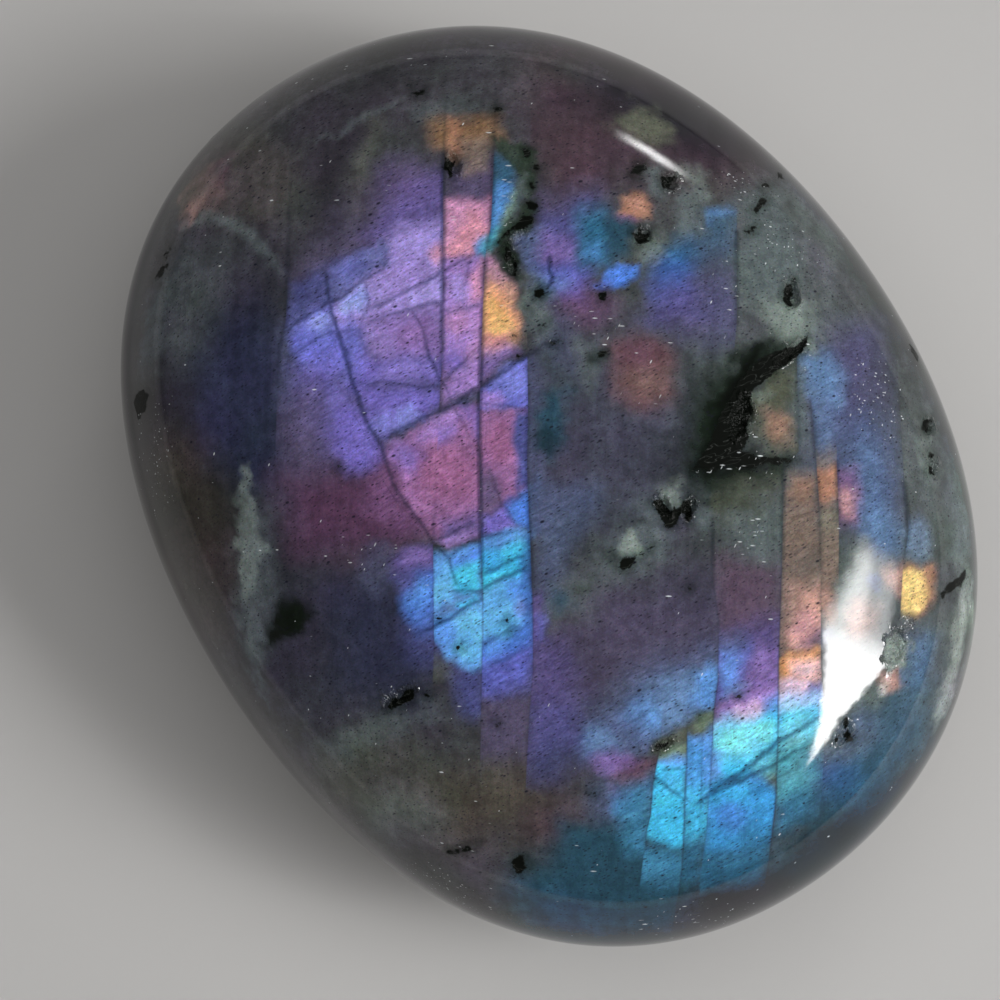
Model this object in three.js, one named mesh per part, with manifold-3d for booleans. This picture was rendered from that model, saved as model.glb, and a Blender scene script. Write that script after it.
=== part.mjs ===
// A labradorite palm stone: one piece of rock, ground to an egg-shaped pebble and polished all over.
// Millimetres, +Z up. Y runs along the stone, X across it. The origin is under the middle of the
// stone, on the surface that it lies on.

import * as THREE from 'three';
import { mergeVertices } from 'three/addons/utils/BufferGeometryUtils.js';
import Module from 'manifold-3d';

// Driving dimensions.
const HALF_WIDTH = 21.6;
const HALF_LENGTH = 27.15;
const CROWN_HEIGHT = 11.6; // from the widest line up to the top of the dome
const BELLY_DEPTH = 9.9; // from the widest line down to the lowest point, before the flat is ground
const REST_DEPTH = 0.3; // ground off the belly, so that the stone has a small flat to lie on

// How the outline departs from an ellipse, and the two domes from an ellipsoid.
const CORNER_FULLNESS = 0.029; // swells the outline between its ends and its sides
const END_TAPER = 0.011; // makes the +Y end narrower than the -Y end
const SIDE_LEAN = 0.02; // makes the +X side shorter than the -X side
const CROWN_SHOULDER = 0.07; // swells the dome halfway down its side
const BELLY_SHOULDER = 0.05;

const SURFACE_DETAIL = 14;
const PIT_DETAIL = 2;
const SETTLING_STEPS = 30; // rounds that find the crown above a place in the plan
const SLOPE_REACH = 0.05;
const MERGE_DISTANCE = 1e-5;
const UP = new THREE.Vector3(0, 0, 1);

// Where soft grains were plucked out in polishing: place on the crown, length, width, depth, and the
// turn of the length away from X in degrees.
const PITS = [
  { x: 9.5, y: -19.1, length: 2.1, width: 1.1, depth: 0.45, turn: 31 },
  { x: 4.5, y: -21.5, length: 1.4, width: 0.7, depth: 0.3, turn: 21 },
  { x: 15.5, y: -0.3, length: 1.7, width: 0.9, depth: 0.4, turn: 66 },
  { x: 13.5, y: -3.1, length: 2.3, width: 0.6, depth: 0.25, turn: 8 },
  { x: 9.1, y: -4.6, length: 2.3, width: 1.2, depth: 0.35, turn: 41 },
  { x: 2.9, y: -6.4, length: 1.2, width: 0.7, depth: 0.35, turn: -84 },
  { x: 3.9, y: -7.3, length: 1.2, width: 0.7, depth: 0.35, turn: 26 },
  { x: 4.0, y: 15.5, length: 1.5, width: 0.7, depth: 0.35, turn: 76 },
  { x: 10.3, y: 6.5, length: 1.0, width: 0.9, depth: 0.3, turn: -4 },
  { x: 13.4, y: 8.4, length: 1.0, width: 0.8, depth: 0.3, turn: 46 },
  { x: 4.5, y: 9.9, length: 1.1, width: 0.6, depth: 0.25, turn: 11 },
  { x: 3.4, y: 8.8, length: 1.2, width: 0.5, depth: 0.25, turn: 77 },
  { x: 18.2, y: -10.1, length: 1.1, width: 0.7, depth: 0.3, turn: 41 },
  { x: 17.0, y: -12.1, length: 0.9, width: 0.5, depth: 0.25, turn: 46 },
  { x: -3.9, y: -16.8, length: 1.2, width: 0.5, depth: 0.25, turn: -19 },
  { x: -14.1, y: -7.0, length: 1.9, width: 0.7, depth: 0.25, turn: -16 },
];

const STONE_COLOUR = 0x4c5152;
const STONE_ROUGHNESS = 0.12;

const wasm = await Module();
wasm.setup();

// The point of the stone's surface that lies in a direction, given as a unit vector.
function surfacePoint(direction) {
  const { x, y, z } = direction;
  const up = z > 0;
  const shoulder = up ? CROWN_SHOULDER : BELLY_SHOULDER;
  const swell = 1 + 4 * CORNER_FULLNESS * x * x * y * y + 4 * shoulder * z * z * (1 - z * z);
  return new THREE.Vector3(
    HALF_WIDTH * x * (1 - END_TAPER * y) * swell,
    HALF_LENGTH * y * (1 - SIDE_LEAN * x) * swell,
    (up ? CROWN_HEIGHT : BELLY_DEPTH) * z * swell,
  );
}

// The point of the crown that is straight above a place in the plan.
function crownPoint(x, y) {
  const plan = new THREE.Vector2(x / HALF_WIDTH, y / HALF_LENGTH);
  let point;
  for (let step = 0; step < SETTLING_STEPS; step += 1) {
    const rise = Math.sqrt(Math.max(0, 1 - plan.lengthSq()));
    point = surfacePoint(new THREE.Vector3(plan.x, plan.y, rise));
    plan.x += (x - point.x) / HALF_WIDTH;
    plan.y += (y - point.y) / HALF_LENGTH;
  }
  return point;
}

// The direction that the crown faces at a place in the plan.
function crownNormal(x, y) {
  const along = crownPoint(x + SLOPE_REACH, y).sub(crownPoint(x - SLOPE_REACH, y));
  const across = crownPoint(x, y + SLOPE_REACH).sub(crownPoint(x, y - SLOPE_REACH));
  return along.cross(across).normalize();
}

function toSolid(geometry) {
  geometry.deleteAttribute('normal');
  geometry.deleteAttribute('uv');
  const merged = mergeVertices(geometry, MERGE_DISTANCE);
  return new wasm.Manifold(new wasm.Mesh({
    numProp: 3,
    vertProperties: Float32Array.from(merged.attributes.position.array),
    triVerts: Uint32Array.from(merged.index.array),
  }));
}

function toGeometry(solid) {
  const mesh = solid.getMesh();
  const geometry = new THREE.BufferGeometry();
  geometry.setAttribute('position', new THREE.BufferAttribute(mesh.vertProperties, 3));
  geometry.setIndex(new THREE.BufferAttribute(mesh.triVerts, 1));
  geometry.computeVertexNormals();
  return geometry;
}

// The whole pebble, before the flat and the pits.
function pebble() {
  const geometry = new THREE.IcosahedronGeometry(1, SURFACE_DETAIL);
  const position = geometry.attributes.position;
  const direction = new THREE.Vector3();
  for (let i = 0; i < position.count; i += 1) {
    direction.fromBufferAttribute(position, i).normalize();
    const point = surfacePoint(direction);
    position.setXYZ(i, point.x, point.y, point.z);
  }
  return toSolid(geometry);
}

// A block whose top face is the plane that the flat is ground to.
function grindingBlock() {
  const side = 4 * HALF_LENGTH;
  const block = new THREE.BoxGeometry(side, side, side);
  block.translate(0, 0, REST_DEPTH - BELLY_DEPTH - side / 2);
  return toSolid(block);
}

// A lens-shaped cutter, set into the crown along its normal.
function pitCutter({ x, y, length, width, depth, turn }) {
  const cutter = new THREE.IcosahedronGeometry(1, PIT_DETAIL);
  cutter.scale(length / 2, width / 2, depth);
  cutter.rotateZ(THREE.MathUtils.degToRad(turn));
  const tilt = new THREE.Quaternion().setFromUnitVectors(UP, crownNormal(x, y));
  cutter.applyQuaternion(tilt);
  const seat = crownPoint(x, y);
  cutter.translate(seat.x, seat.y, seat.z);
  return toSolid(cutter);
}

let stoneSolid = pebble().subtract(grindingBlock());
for (const pit of PITS) stoneSolid = stoneSolid.subtract(pitCutter(pit));

const stoneGeometry = toGeometry(stoneSolid);
stoneGeometry.computeBoundingBox();
const { min, max } = stoneGeometry.boundingBox;
stoneGeometry.translate(-(min.x + max.x) / 2, -(min.y + max.y) / 2, -min.z);

const stone = new THREE.Mesh(
  stoneGeometry,
  new THREE.MeshStandardMaterial({ color: STONE_COLOUR, roughness: STONE_ROUGHNESS, metalness: 0 }),
);
stone.name = 'stone';

const palmStone = new THREE.Group();
palmStone.add(stone);

export default palmStone;
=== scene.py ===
import math

import bmesh
import bpy
import numpy as np
from mathutils import Matrix, Vector, noise


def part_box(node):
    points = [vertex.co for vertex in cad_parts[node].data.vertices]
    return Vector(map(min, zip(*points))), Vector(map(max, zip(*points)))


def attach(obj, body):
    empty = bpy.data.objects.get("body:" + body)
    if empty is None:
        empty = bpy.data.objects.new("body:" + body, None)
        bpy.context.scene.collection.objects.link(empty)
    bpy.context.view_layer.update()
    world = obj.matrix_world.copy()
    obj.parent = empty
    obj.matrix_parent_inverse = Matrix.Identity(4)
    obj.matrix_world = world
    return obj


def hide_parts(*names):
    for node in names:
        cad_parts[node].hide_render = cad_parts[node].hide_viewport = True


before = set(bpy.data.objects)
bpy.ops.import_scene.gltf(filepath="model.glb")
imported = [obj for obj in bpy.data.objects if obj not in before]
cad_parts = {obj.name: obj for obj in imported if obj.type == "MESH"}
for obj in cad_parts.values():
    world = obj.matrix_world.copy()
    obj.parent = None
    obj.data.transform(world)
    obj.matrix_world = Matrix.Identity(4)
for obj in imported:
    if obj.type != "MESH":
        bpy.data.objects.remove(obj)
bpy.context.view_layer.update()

# A polished labradorite palm stone. Lengths are in millimetres until the mesh is finished, with the
# middle of the stone's widest line as the origin. The markings are drawn on the sheet that the camera
# sees: pixels from the picture's upper left corner, x to the right and y down.

MILLIMETRE = 0.001
WAIST_HEIGHT = 9.6 * MILLIMETRE  # the widest line's height above the surface that the stone lies on

# The form, with the names and values of the solid.
HALF_WIDTH = 21.6
HALF_LENGTH = 27.15
CROWN_HEIGHT = 11.6
BELLY_DEPTH = 9.9
REST_DEPTH = 0.3
CORNER_FULLNESS = 0.029
END_TAPER = 0.011
SIDE_LEAN = 0.02
CROWN_SHOULDER = 0.07
BELLY_SHOULDER = 0.05
FLAT_EDGE = 0.08  # how softly the flat under the stone runs into the belly

# Pits: place on the crown, length, width, depth, turn of the length away from X in degrees.
PITS = [
    (9.5, -19.1, 2.1, 1.1, 0.45, 31),
    (4.5, -21.5, 1.4, 0.7, 0.3, 21),
    (15.5, -0.3, 1.7, 0.9, 0.4, 66),
    (13.5, -3.1, 2.3, 0.6, 0.25, 8),
    (9.1, -4.6, 2.3, 1.2, 0.35, 41),
    (2.9, -6.4, 1.2, 0.7, 0.35, -84),
    (3.9, -7.3, 1.2, 0.7, 0.35, 26),
    (4.0, 15.5, 1.5, 0.7, 0.35, 76),
    (10.3, 6.5, 1.0, 0.9, 0.3, -4),
    (13.4, 8.4, 1.0, 0.8, 0.3, 46),
    (4.5, 9.9, 1.1, 0.6, 0.25, 11),
    (3.4, 8.8, 1.2, 0.5, 0.25, 77),
    (18.2, -10.1, 1.1, 0.7, 0.3, 41),
    (17.0, -12.1, 0.9, 0.5, 0.25, 46),
    (-3.9, -16.8, 1.2, 0.5, 0.25, -19),
    (-14.1, -7.0, 1.9, 0.7, 0.25, -16),
]
PIT_MARGIN = 0.35  # how far round a pit the mesh is made finer
PIT_RAGGEDNESS = 0.3  # how much a pit's edge strays from an oval
PIT_ROUGHNESS = 0.25  # how much its depth varies
FAR_OUT = 9  # counts as far from every pit

EDGE_CUTS = 88  # how often each edge of the first ball of 20 triangles is cut
CROWN_CROWDING = 1.7  # how much closer together the points are at the top of the crown
NOISE_GAIN = 1.4  # brings the noise to about -1 to 1

# The camera.
PICTURE_SIDE = 1000
SENSOR_WIDTH = 36.0
CAMERA_DISTANCE = 170.0
CAMERA_ELEVATION = math.radians(80)
STONE_ROLL = math.radians(33.29)  # from the stone's X to the picture's x
PIXEL = 0.05641  # millimetres to a pixel, at the camera's distance
AIM_RIGHT = -2.651
AIM_UP = -1.467
FOCAL_PIXELS = CAMERA_DISTANCE / PIXEL

SHEET_RIGHT = np.array([math.cos(STONE_ROLL), -math.sin(STONE_ROLL), 0])
SHEET_AHEAD = np.array([math.sin(STONE_ROLL), math.cos(STONE_ROLL), 0])
CAMERA_BACK = np.array([0, 0, math.sin(CAMERA_ELEVATION)]) - SHEET_AHEAD * math.cos(CAMERA_ELEVATION)
CAMERA_UP = np.cross(CAMERA_BACK, SHEET_RIGHT)
CAMERA_PLACE = CAMERA_BACK * CAMERA_DISTANCE + SHEET_RIGHT * AIM_RIGHT + CAMERA_UP * AIM_UP

# How much light a place gets from the sky, the large light overhead, the window and the floor.
SKY_SHARE = 0.10
OVERHEAD_SHARE = 0.34
OVERHEAD_FALLOFF = 1.6  # how fast that light fails where the surface leans over
WINDOW_SHARE = 0.70
FLOOR_SHARE = 0.40
# The flashes are given painted glow: a share of their colour is their own light.
GLOW_SHARE = 0.35  # the part of a flash's colour that is its own light, not the room's
GLOW_STRENGTH = 0.28

# The room that the polish mirrors: from the horizon up to a part of the way to the zenith.
HORIZON = 0.20
ZENITH = 0.05
CEILING_RISE = 0.85
DIM_SIDE = 0.5  # multiplies the sky's brightness across from the window
WINDOW_SIDE = 1.5  # multiplies it on the window's side
SIDE_SPREAD = (-0.3, 1.0)  # the cosines, from the brightest side, between which one becomes the other
SKY_WHITE = (1.0, 0.99, 0.975, 1)
FLOOR_BRIGHTNESS = 0.42
FLOOR_RADIUS = 4  # metres
POLISH_AT_RIGHT_ANGLES = 0.048  # the share of light that the polish throws back

# How the stone's own colours are worked out of the colours as they look: painted darker where the polish
# mirrors the room towards the camera, and lighter where less light falls.
MOST_VEIL = 0.07  # no more of the mirrored room than this is taken off a colour
LEAST_LEFT = 0.55  # the share of itself that a colour keeps after that
LEAST_LIGHT = 0.5  # no place of the crown counts as getting less light than this
UNDERSIDE_LIGHT = 0.95  # the light that the underside's colours are made for
DARKEST, PALEST = 0.002, 0.9  # the limits of the stone's own colours
WHOLE_FLASH = 0.12  # a colour that stands out from the ground by this much glows in full
CROWN_EDGE = (-0.15, 0.1)  # how far the surface faces the camera where the crown's marks fade in
EDGE_MARGIN = 2  # pixels past a mark's soft edge that are still measured
BAND_WHOLE, BAND_GONE = 530, 620  # the lamellae's clouded bands fade out between these heights

# How the fine lines of the lamellae lean and turn away from upright.
LAMELLA_LEAN = 0.2
LAMELLA_TURN = STONE_ROLL + 0.04


def towards(clockwise, elevation):
    """A direction, by its turn clockwise from the top of the picture and its rise, in degrees."""
    turn = math.radians(clockwise)
    rise = math.radians(elevation)
    level = SHEET_RIGHT * math.sin(turn) + SHEET_AHEAD * math.cos(turn)
    return level * math.cos(rise) + np.array([0, 0, math.sin(rise)])


WINDOW_DIRECTION = towards(108, 37)
SLIT_DIRECTION = towards(24.5, 25.5)
BRIGHT_SKY = towards(85, 20)


def soft_step(value, low, high):
    """0 below the low value and 1 above the high one, with a smooth rise between them."""
    share = np.clip((value - low) / (high - low), 0, 1)
    return share * share * (3 - 2 * share)


def linear(colour):
    """A colour as a picture has it, 0 to 255, as amounts of light, by the sRGB curve."""
    share = np.array(colour, float) / 255
    return np.where(share <= 0.04045, share / 12.92, ((share + 0.055) / 1.055) ** 2.4)


# The stone's form

def form(directions):
    """The points of the surface that lie in directions, given as unit vectors, one to a row."""
    x, y, z = directions.T
    shoulder = np.where(z > 0, CROWN_SHOULDER, BELLY_SHOULDER)
    swell = 1 + 4 * CORNER_FULLNESS * x * x * y * y + 4 * shoulder * z * z * (1 - z * z)
    across = HALF_WIDTH * x * (1 - END_TAPER * y) * swell
    along = HALF_LENGTH * y * (1 - SIDE_LEAN * x) * swell
    height = np.where(z > 0, CROWN_HEIGHT, BELLY_DEPTH) * z * swell
    above_flat = height - (REST_DEPTH - BELLY_DEPTH)
    height += (np.sqrt(above_flat ** 2 + FLAT_EDGE ** 2) - above_flat) / 2
    return np.stack([across, along, height], axis=1)


def crowd_to_crown(directions):
    """Moves directions towards the top of the crown, so that more of the points lie where it shows."""
    z = directions[:, 2]
    up, down = CROWN_CROWDING ** 2 * (1 + z), 1 - z
    spread = 2 * CROWN_CROWDING / (up + down)
    x, y = directions[:, 0] * spread, directions[:, 1] * spread
    return np.stack([x, y, (up - down) / (up + down)], axis=1)


def unit(rows):
    return rows / np.linalg.norm(rows, axis=1, keepdims=True)


def form_normals(directions):
    """The directions that the surface faces."""
    slanting = [0.3, 0.5, 0.81]  # an axis that no point of the mesh lies on
    step = 1e-3
    side = unit(np.cross(directions, slanting))
    other = np.cross(directions, side)
    along = form(unit(directions + side * step)) - form(unit(directions - side * step))
    across = form(unit(directions + other * step)) - form(unit(directions - other * step))
    return unit(np.cross(along, across))


def drift(points, scale, octaves=1):
    """Smooth noise at each point, about -1 to 1. Its waves are about 1 / scale long."""
    places = (points * scale).tolist()
    return NOISE_GAIN * np.array([noise.fractal(place, 1.0, 2.0, octaves) for place in places])


def in_pit(points, pit):
    """How far out from the middle of a pit each point lies: 1 at the pit's edge."""
    x, y, length, width, _, turn = pit
    angle = math.radians(turn)
    dx, dy = points[:, 0] - x, points[:, 1] - y
    along = dx * math.cos(angle) + dy * math.sin(angle)
    across = dy * math.cos(angle) - dx * math.sin(angle)
    reach = np.hypot(2 * along / length, 2 * across / width)
    return np.where(points[:, 2] > 0, reach, FAR_OUT)


def positions(mesh_maker):
    return np.array([vertex.co[:] for vertex in mesh_maker.verts])


def place_vertices(mesh_maker, places):
    for vertex, place in zip(mesh_maker.verts, places):
        vertex.co = place


def pebble_mesh():
    """A ball cut into small triangles, finer at the crown and finer again round the pits."""
    mesh_maker = bmesh.new()
    bmesh.ops.create_icosphere(mesh_maker, subdivisions=1, radius=1)
    bmesh.ops.subdivide_edges(mesh_maker, edges=mesh_maker.edges[:], cuts=EDGE_CUTS, use_grid_fill=True)
    place_vertices(mesh_maker, crowd_to_crown(unit(positions(mesh_maker))))
    places = form(positions(mesh_maker))
    near = np.zeros(len(places), bool)
    for pit in PITS:
        width = pit[3]
        near |= in_pit(places, pit) < 1 + 2 * PIT_MARGIN / width
    mesh_maker.verts.ensure_lookup_table()
    close = {mesh_maker.verts[i] for i in np.nonzero(near)[0]}
    edges = [edge for edge in mesh_maker.edges if edge.verts[0] in close and edge.verts[1] in close]
    bmesh.ops.subdivide_edges(mesh_maker, edges=edges, cuts=1)
    bmesh.ops.triangulate(mesh_maker, faces=mesh_maker.faces[:])
    place_vertices(mesh_maker, unit(positions(mesh_maker)))
    return mesh_maker


def sink_pits(points, normals):
    """Pushes the pits in. Gives the new points, and how deep in a pit each one is, 0 to 1."""
    depth = np.zeros(len(points))
    share = np.zeros(len(points))
    for pit in PITS:
        deepest = pit[4]
        out = in_pit(points, pit)
        near = np.nonzero(out < 2)[0]
        rough = drift(points[near], 1.9) + 0.6 * drift(points[near], 5.1)
        edge = out[near] * (1 + PIT_RAGGEDNESS * rough)
        bowl = np.sqrt(np.clip(1 - edge ** 2, 0, 1))
        depth[near] = np.maximum(depth[near], deepest * bowl * (1 + PIT_ROUGHNESS * rough))
        share[near] = np.maximum(share[near], soft_step(1.3 - edge, 0, 0.3))
    return points - normals * depth[:, None], share


# Marks on the sheet

OVAL_CORNERS = 24


def on_sheet(points):
    """Where the camera sees each point."""
    reach = points - CAMERA_PLACE
    depth = -(reach @ CAMERA_BACK)
    x = PICTURE_SIDE / 2 + FOCAL_PIXELS * (reach @ SHEET_RIGHT) / depth
    y = PICTURE_SIDE / 2 - FOCAL_PIXELS * (reach @ CAMERA_UP) / depth
    return np.stack([x, y], axis=1)


def wander(points, scale, reach):
    """A smooth drift over the sheet, so that no edge runs ruler-straight. The reach is in pixels."""
    return np.stack([drift(points + 31, scale, 2), drift(points - 57, scale, 2)], axis=1) * reach


def oval(x, y, half_width, half_height, turn=0):
    """The corners of an oval outline. The turn is clockwise, in degrees."""
    angle = math.radians(turn)
    corners = []
    for step in range(OVAL_CORNERS):
        around = 2 * math.pi * step / OVAL_CORNERS
        wide, tall = half_width * math.cos(around), half_height * math.sin(around)
        corners.append((
            x + wide * math.cos(angle) - tall * math.sin(angle),
            y + wide * math.sin(angle) + tall * math.cos(angle),
        ))
    return corners


def inside(places, corners, reach):
    """How far inside an outline each place is, negative outside, and no less than -reach."""
    corners = np.array(corners, float)
    low, high = corners.min(axis=0) - reach, corners.max(axis=0) + reach
    near = np.nonzero(((places > low) & (places < high)).all(axis=1))[0]
    here = places[near]
    distance = np.full(len(near), np.inf)
    within = np.zeros(len(near), bool)
    for start, end in zip(corners, np.roll(corners, -1, axis=0)):
        along = end - start
        share = np.clip((here - start) @ along / (along @ along), 0, 1)
        gap = here - start - share[:, None] * along
        distance = np.minimum(distance, np.hypot(gap[:, 0], gap[:, 1]))
        crosses = (start[1] > here[:, 1]) != (end[1] > here[:, 1])
        drop = along[1] if along[1] else 1e-9  # a level edge is never crossed
        within ^= crosses & (here[:, 0] < start[0] + (here[:, 1] - start[1]) * along[0] / drop)
    result = np.full(len(places), -float(reach))
    result[near] = np.where(within, distance, -distance.clip(0, reach))
    return result


# The twin lamellae: near-upright planes that part the stone into strips, from left to right. Each is
# a list of y, x and how dark its line is there.
LAMELLAE = [
    [(60, 296, 0), (250, 288, 0.3), (320, 286, 0.3), (348, 279, 0.3), (400, 277, 0), (900, 262, 0)],
    [(60, 447, 0), (185, 443, 0.5), (260, 443, 0.6), (355, 442, 0.4), (450, 437, 0), (545, 433, 0.35),
     (640, 434, 0.2), (760, 430, 0), (900, 425, 0)],
    [(60, 497, 0), (179, 493, 0.4), (225, 491, 0.4), (250, 486, 0.4), (303, 483, 0.5), (356, 481, 0.6),
     (430, 479, 0.6), (541, 481, 0.7), (590, 483, 0.7), (670, 482, 0.5), (760, 480, 0.2), (900, 478, 0)],
    [(60, 532, 0), (330, 527, 0), (407, 528, 0.3), (467, 527, 0.3), (520, 529, 0.4), (560, 531, 0.5),
     (610, 533, 0.5), (670, 533, 0.4), (720, 529, 0.3), (800, 525, 0.1), (900, 520, 0)],
    [(60, 690, 0), (700, 664, 0), (753, 659, 0.6), (784, 653, 0.6), (815, 651, 0.5), (831, 647, 0.4),
     (876, 641, 0.2), (920, 635, 0)],
    [(60, 712, 0), (700, 688, 0), (741, 687, 0.6), (784, 686, 0.8), (825, 684, 0.8), (866, 682, 0.6),
     (897, 678, 0.4), (930, 672, 0)],
    [(60, 728, 0), (700, 703, 0), (751, 702, 0.4), (804, 701, 0.4), (860, 698, 0.2), (900, 694, 0)],
    [(60, 741, 0), (225, 737, 0), (232, 737, 0.45), (318, 737, 0.35), (345, 735, 0), (500, 713, 0),
     (545, 712, 0.5), (580, 713, 0.5), (621, 719, 0.5), (680, 718, 0.7), (708, 714, 0.6), (739, 713, 0.6),
     (784, 710, 0.5), (835, 706, 0.3), (880, 700, 0)],
    [(60, 806, 0), (345, 798, 0), (360, 797, 0.3), (452, 799, 0.3), (464, 784, 0.3), (574, 782, 0.5),
     (650, 779, 0.8), (740, 778, 0.8), (800, 776, 0.9), (825, 773, 0.9), (860, 769, 0.6), (900, 762, 0)],
    [(60, 812, 0), (395, 811, 0), (410, 812, 0.3), (454, 816, 0.3), (511, 820, 0.3), (569, 821, 0.3),
     (662, 821, 0.3), (706, 824, 0.3), (760, 824, 0), (880, 815, 0)],
    [(60, 822, 0), (455, 837, 0), (465, 837, 0.4), (511, 839, 0.4), (530, 839, 0), (800, 838, 0)],
    [(60, 880, 0), (475, 904, 0), (486, 905, 0.5), (530, 909, 0.5), (570, 903, 0.2), (607, 901, 0),
     (700, 898, 0), (800, 890, 0)],
]

# How bright the ground of each strip is.
STRIP_TONES = [0.98, 1.02, 1.0, 1.05, 0.98, 1.04, 0.96, 1.03, 0.97, 1.05, 1.0, 0.96, 1.03]
ALL = (0, len(LAMELLAE))  # the first and the last strip


def lamellae_at(places):
    """Each place's strip, the nearest strip beside it, how far the line between them is, and how dark."""
    lines = np.array([np.interp(places[:, 1], *np.array(line)[:, :2].T) for line in LAMELLAE])
    darkness = np.array([np.interp(places[:, 1], *np.array(line)[:, ::2].T) for line in LAMELLAE])
    right_of = places[:, 0] - lines
    strip = (right_of > 0).sum(axis=0)
    count = len(LAMELLAE)
    rows = np.arange(len(places))
    to_left = np.where(strip > 0, right_of[np.maximum(strip - 1, 0), rows], np.inf)
    to_right = np.where(strip < count, -right_of[np.minimum(strip, count - 1), rows], np.inf)
    beside = np.where(to_left < to_right, strip - 1, strip + 1)
    line = np.where(to_left < to_right, strip - 1, strip).clip(0, count - 1)
    return strip, beside, np.minimum(to_left, to_right), darkness[line, rows]


# Cracks that rise to the right, from the top of the sheet down. Each is a list of x, y and darkness.
RISING_CRACKS = [
    [(288, 329, 0.4), (327, 302, 0.7), (341, 296, 0.7), (362, 281, 0.6), (383, 269, 0.5), (396, 252, 0)],
    [(355, 322, 0.3), (370, 309, 0.5), (394, 297, 0.5), (418, 284, 0.5), (442, 271, 0.7), (470, 255, 0.4)],
    [(289, 355, 0.3), (331, 333, 0.5), (352, 330, 0.2), (373, 321, 0.4), (400, 311, 0.5), (436, 302, 0.5),
     (447, 312, 0.4), (479, 305, 0.5)],
    [(300, 376, 0.1), (345, 383, 0.1), (390, 382, 0.5), (412, 386, 0.5), (436, 388, 0.4), (445, 378, 0.4),
     (466, 362, 0.4), (480, 350, 0)],
    [(384, 438, 0.5), (418, 421, 0.6), (446, 409, 0.8), (464, 399, 0.8), (479, 388, 0.7), (501, 372, 0.6),
     (529, 355, 0.6), (547, 343, 0.3)],
    [(474, 400, 0), (480, 404, 0.4), (529, 408, 0.4), (540, 410, 0)],
    [(300, 505, 0), (350, 478, 0.2), (390, 460, 0)],
    [(433, 540, 0.5), (464, 528, 0.5), (479, 521, 0.4), (507, 502, 0.4), (527, 491, 0.5), (552, 480, 0)],
    [(440, 561, 0), (449, 557, 0.4), (462, 548, 0.4), (479, 539, 0.5), (497, 533, 0.6), (516, 531, 0.3)],
    [(483, 574, 0.6), (501, 565, 0.7), (523, 557, 0.6), (530, 554, 0)],
    [(405, 600, 0), (434, 592, 0), (455, 592, 0.5), (479, 590, 0.6), (484, 588, 0.7), (501, 578, 0.8),
     (523, 570, 0.8), (530, 566, 0)],
    [(415, 636, 0.2), (434, 627, 0.7), (450, 618, 0.8), (464, 609, 0.8), (481, 598, 0.6), (488, 593, 0)],
    [(484, 643, 0.5), (500, 634, 0.5), (515, 627, 0.3), (528, 620, 0)],
    [(483, 670, 0.3), (510, 656, 0.5), (529, 647, 0.3), (545, 640, 0)],
    [(657, 771, 0), (662, 769, 0.4), (684, 768, 0.4), (698, 757, 0)],
    [(690, 806, 0), (698, 802, 0.8), (722, 786, 0.9), (751, 764, 0.9), (777, 743, 0.9), (820, 717, 0.6)],
    [(702, 800, 0.2), (710, 795, 0.7), (743, 778, 0.7), (777, 762, 0.7), (804, 747, 0.5), (820, 740, 0)],
    [(735, 806, 0), (751, 794, 0.4), (777, 779, 0.4), (800, 768, 0)],
    [(684, 829, 0.2), (700, 815, 0.4), (712, 806, 0)],
]

# Cracks that fall steeply, from left to right. Each is a list of y, x and darkness.
STEEP_CRACKS = [
    [(262, 322, 0), (274, 325, 0.4), (300, 329, 0.7), (323, 335, 0.8), (351, 344, 0.8), (379, 351, 0.8),
     (405, 361, 0.8), (429, 370, 0.7), (449, 382, 0.6), (484, 393, 0.6), (502, 405, 0.6), (521, 418, 0.5),
     (539, 430, 0.5), (558, 449, 0.6), (582, 456, 0.5), (596, 462, 0)],
    [(272, 372, 0), (281, 366, 0.4), (303, 369, 0.4), (318, 363, 0.4), (329, 359, 0.3), (355, 366, 0.2)],
    [(303, 410, 0), (312, 412, 0.4), (329, 422, 0.5), (359, 431, 0.6), (379, 440, 0.6), (394, 451, 0.4),
     (412, 456, 0.4), (429, 466, 0.3), (440, 470, 0)],
    [(250, 472, 0), (259, 470, 0.4), (281, 466, 0.4), (296, 463, 0)],
    [(465, 487, 0), (473, 490, 0.4), (498, 499, 0.4), (515, 508, 0.4), (524, 514, 0.2), (535, 518, 0)],
    [(250, 549, 0), (257, 549, 0.9), (269, 550, 0.9), (277, 553, 0.9), (286, 548, 0.8), (292, 546, 0)],
    [(768, 648, 0), (776, 655, 0.5), (788, 669, 0.6), (800, 684, 0.5), (806, 692, 0)],
]
CRACK_REACH = 9.0  # pixels from a crack, where nothing of it shows any more
END_FADE = 8.0  # pixels past a crack's end, where its darkness is gone


def cracks_at(places, cracks, across):
    """A signed distance to the nearest of a family of cracks, and its darkness.

    The side changes from one crack to the next, so that halfway between two the distance runs on.
    """
    along, over = places[:, 1 - across], places[:, across]
    best = np.full(len(places), CRACK_REACH)
    value = np.full(len(places), CRACK_REACH)
    shade = np.zeros(len(places))
    for index, crack in enumerate(cracks):
        course, line, darkness = np.array(crack, float).T
        slope = np.interp(along, (course[1:] + course[:-1]) / 2, np.diff(line) / np.diff(course))
        gap = (over - np.interp(along, course, line)) / np.hypot(1, slope)
        past = np.maximum(course[0] - along, along - course[-1]).clip(0)
        closer = np.hypot(gap, past) < best
        best = np.where(closer, np.hypot(gap, past), best)
        value = np.where(closer, gap * (-1) ** index, value)
        faded = np.interp(along, course, darkness) * soft_step(-past, -END_FADE, 0)
        shade = np.where(closer, faded, shade)
    return value, shade * soft_step(-best, -CRACK_REACH, -CRACK_REACH / 2)


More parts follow.
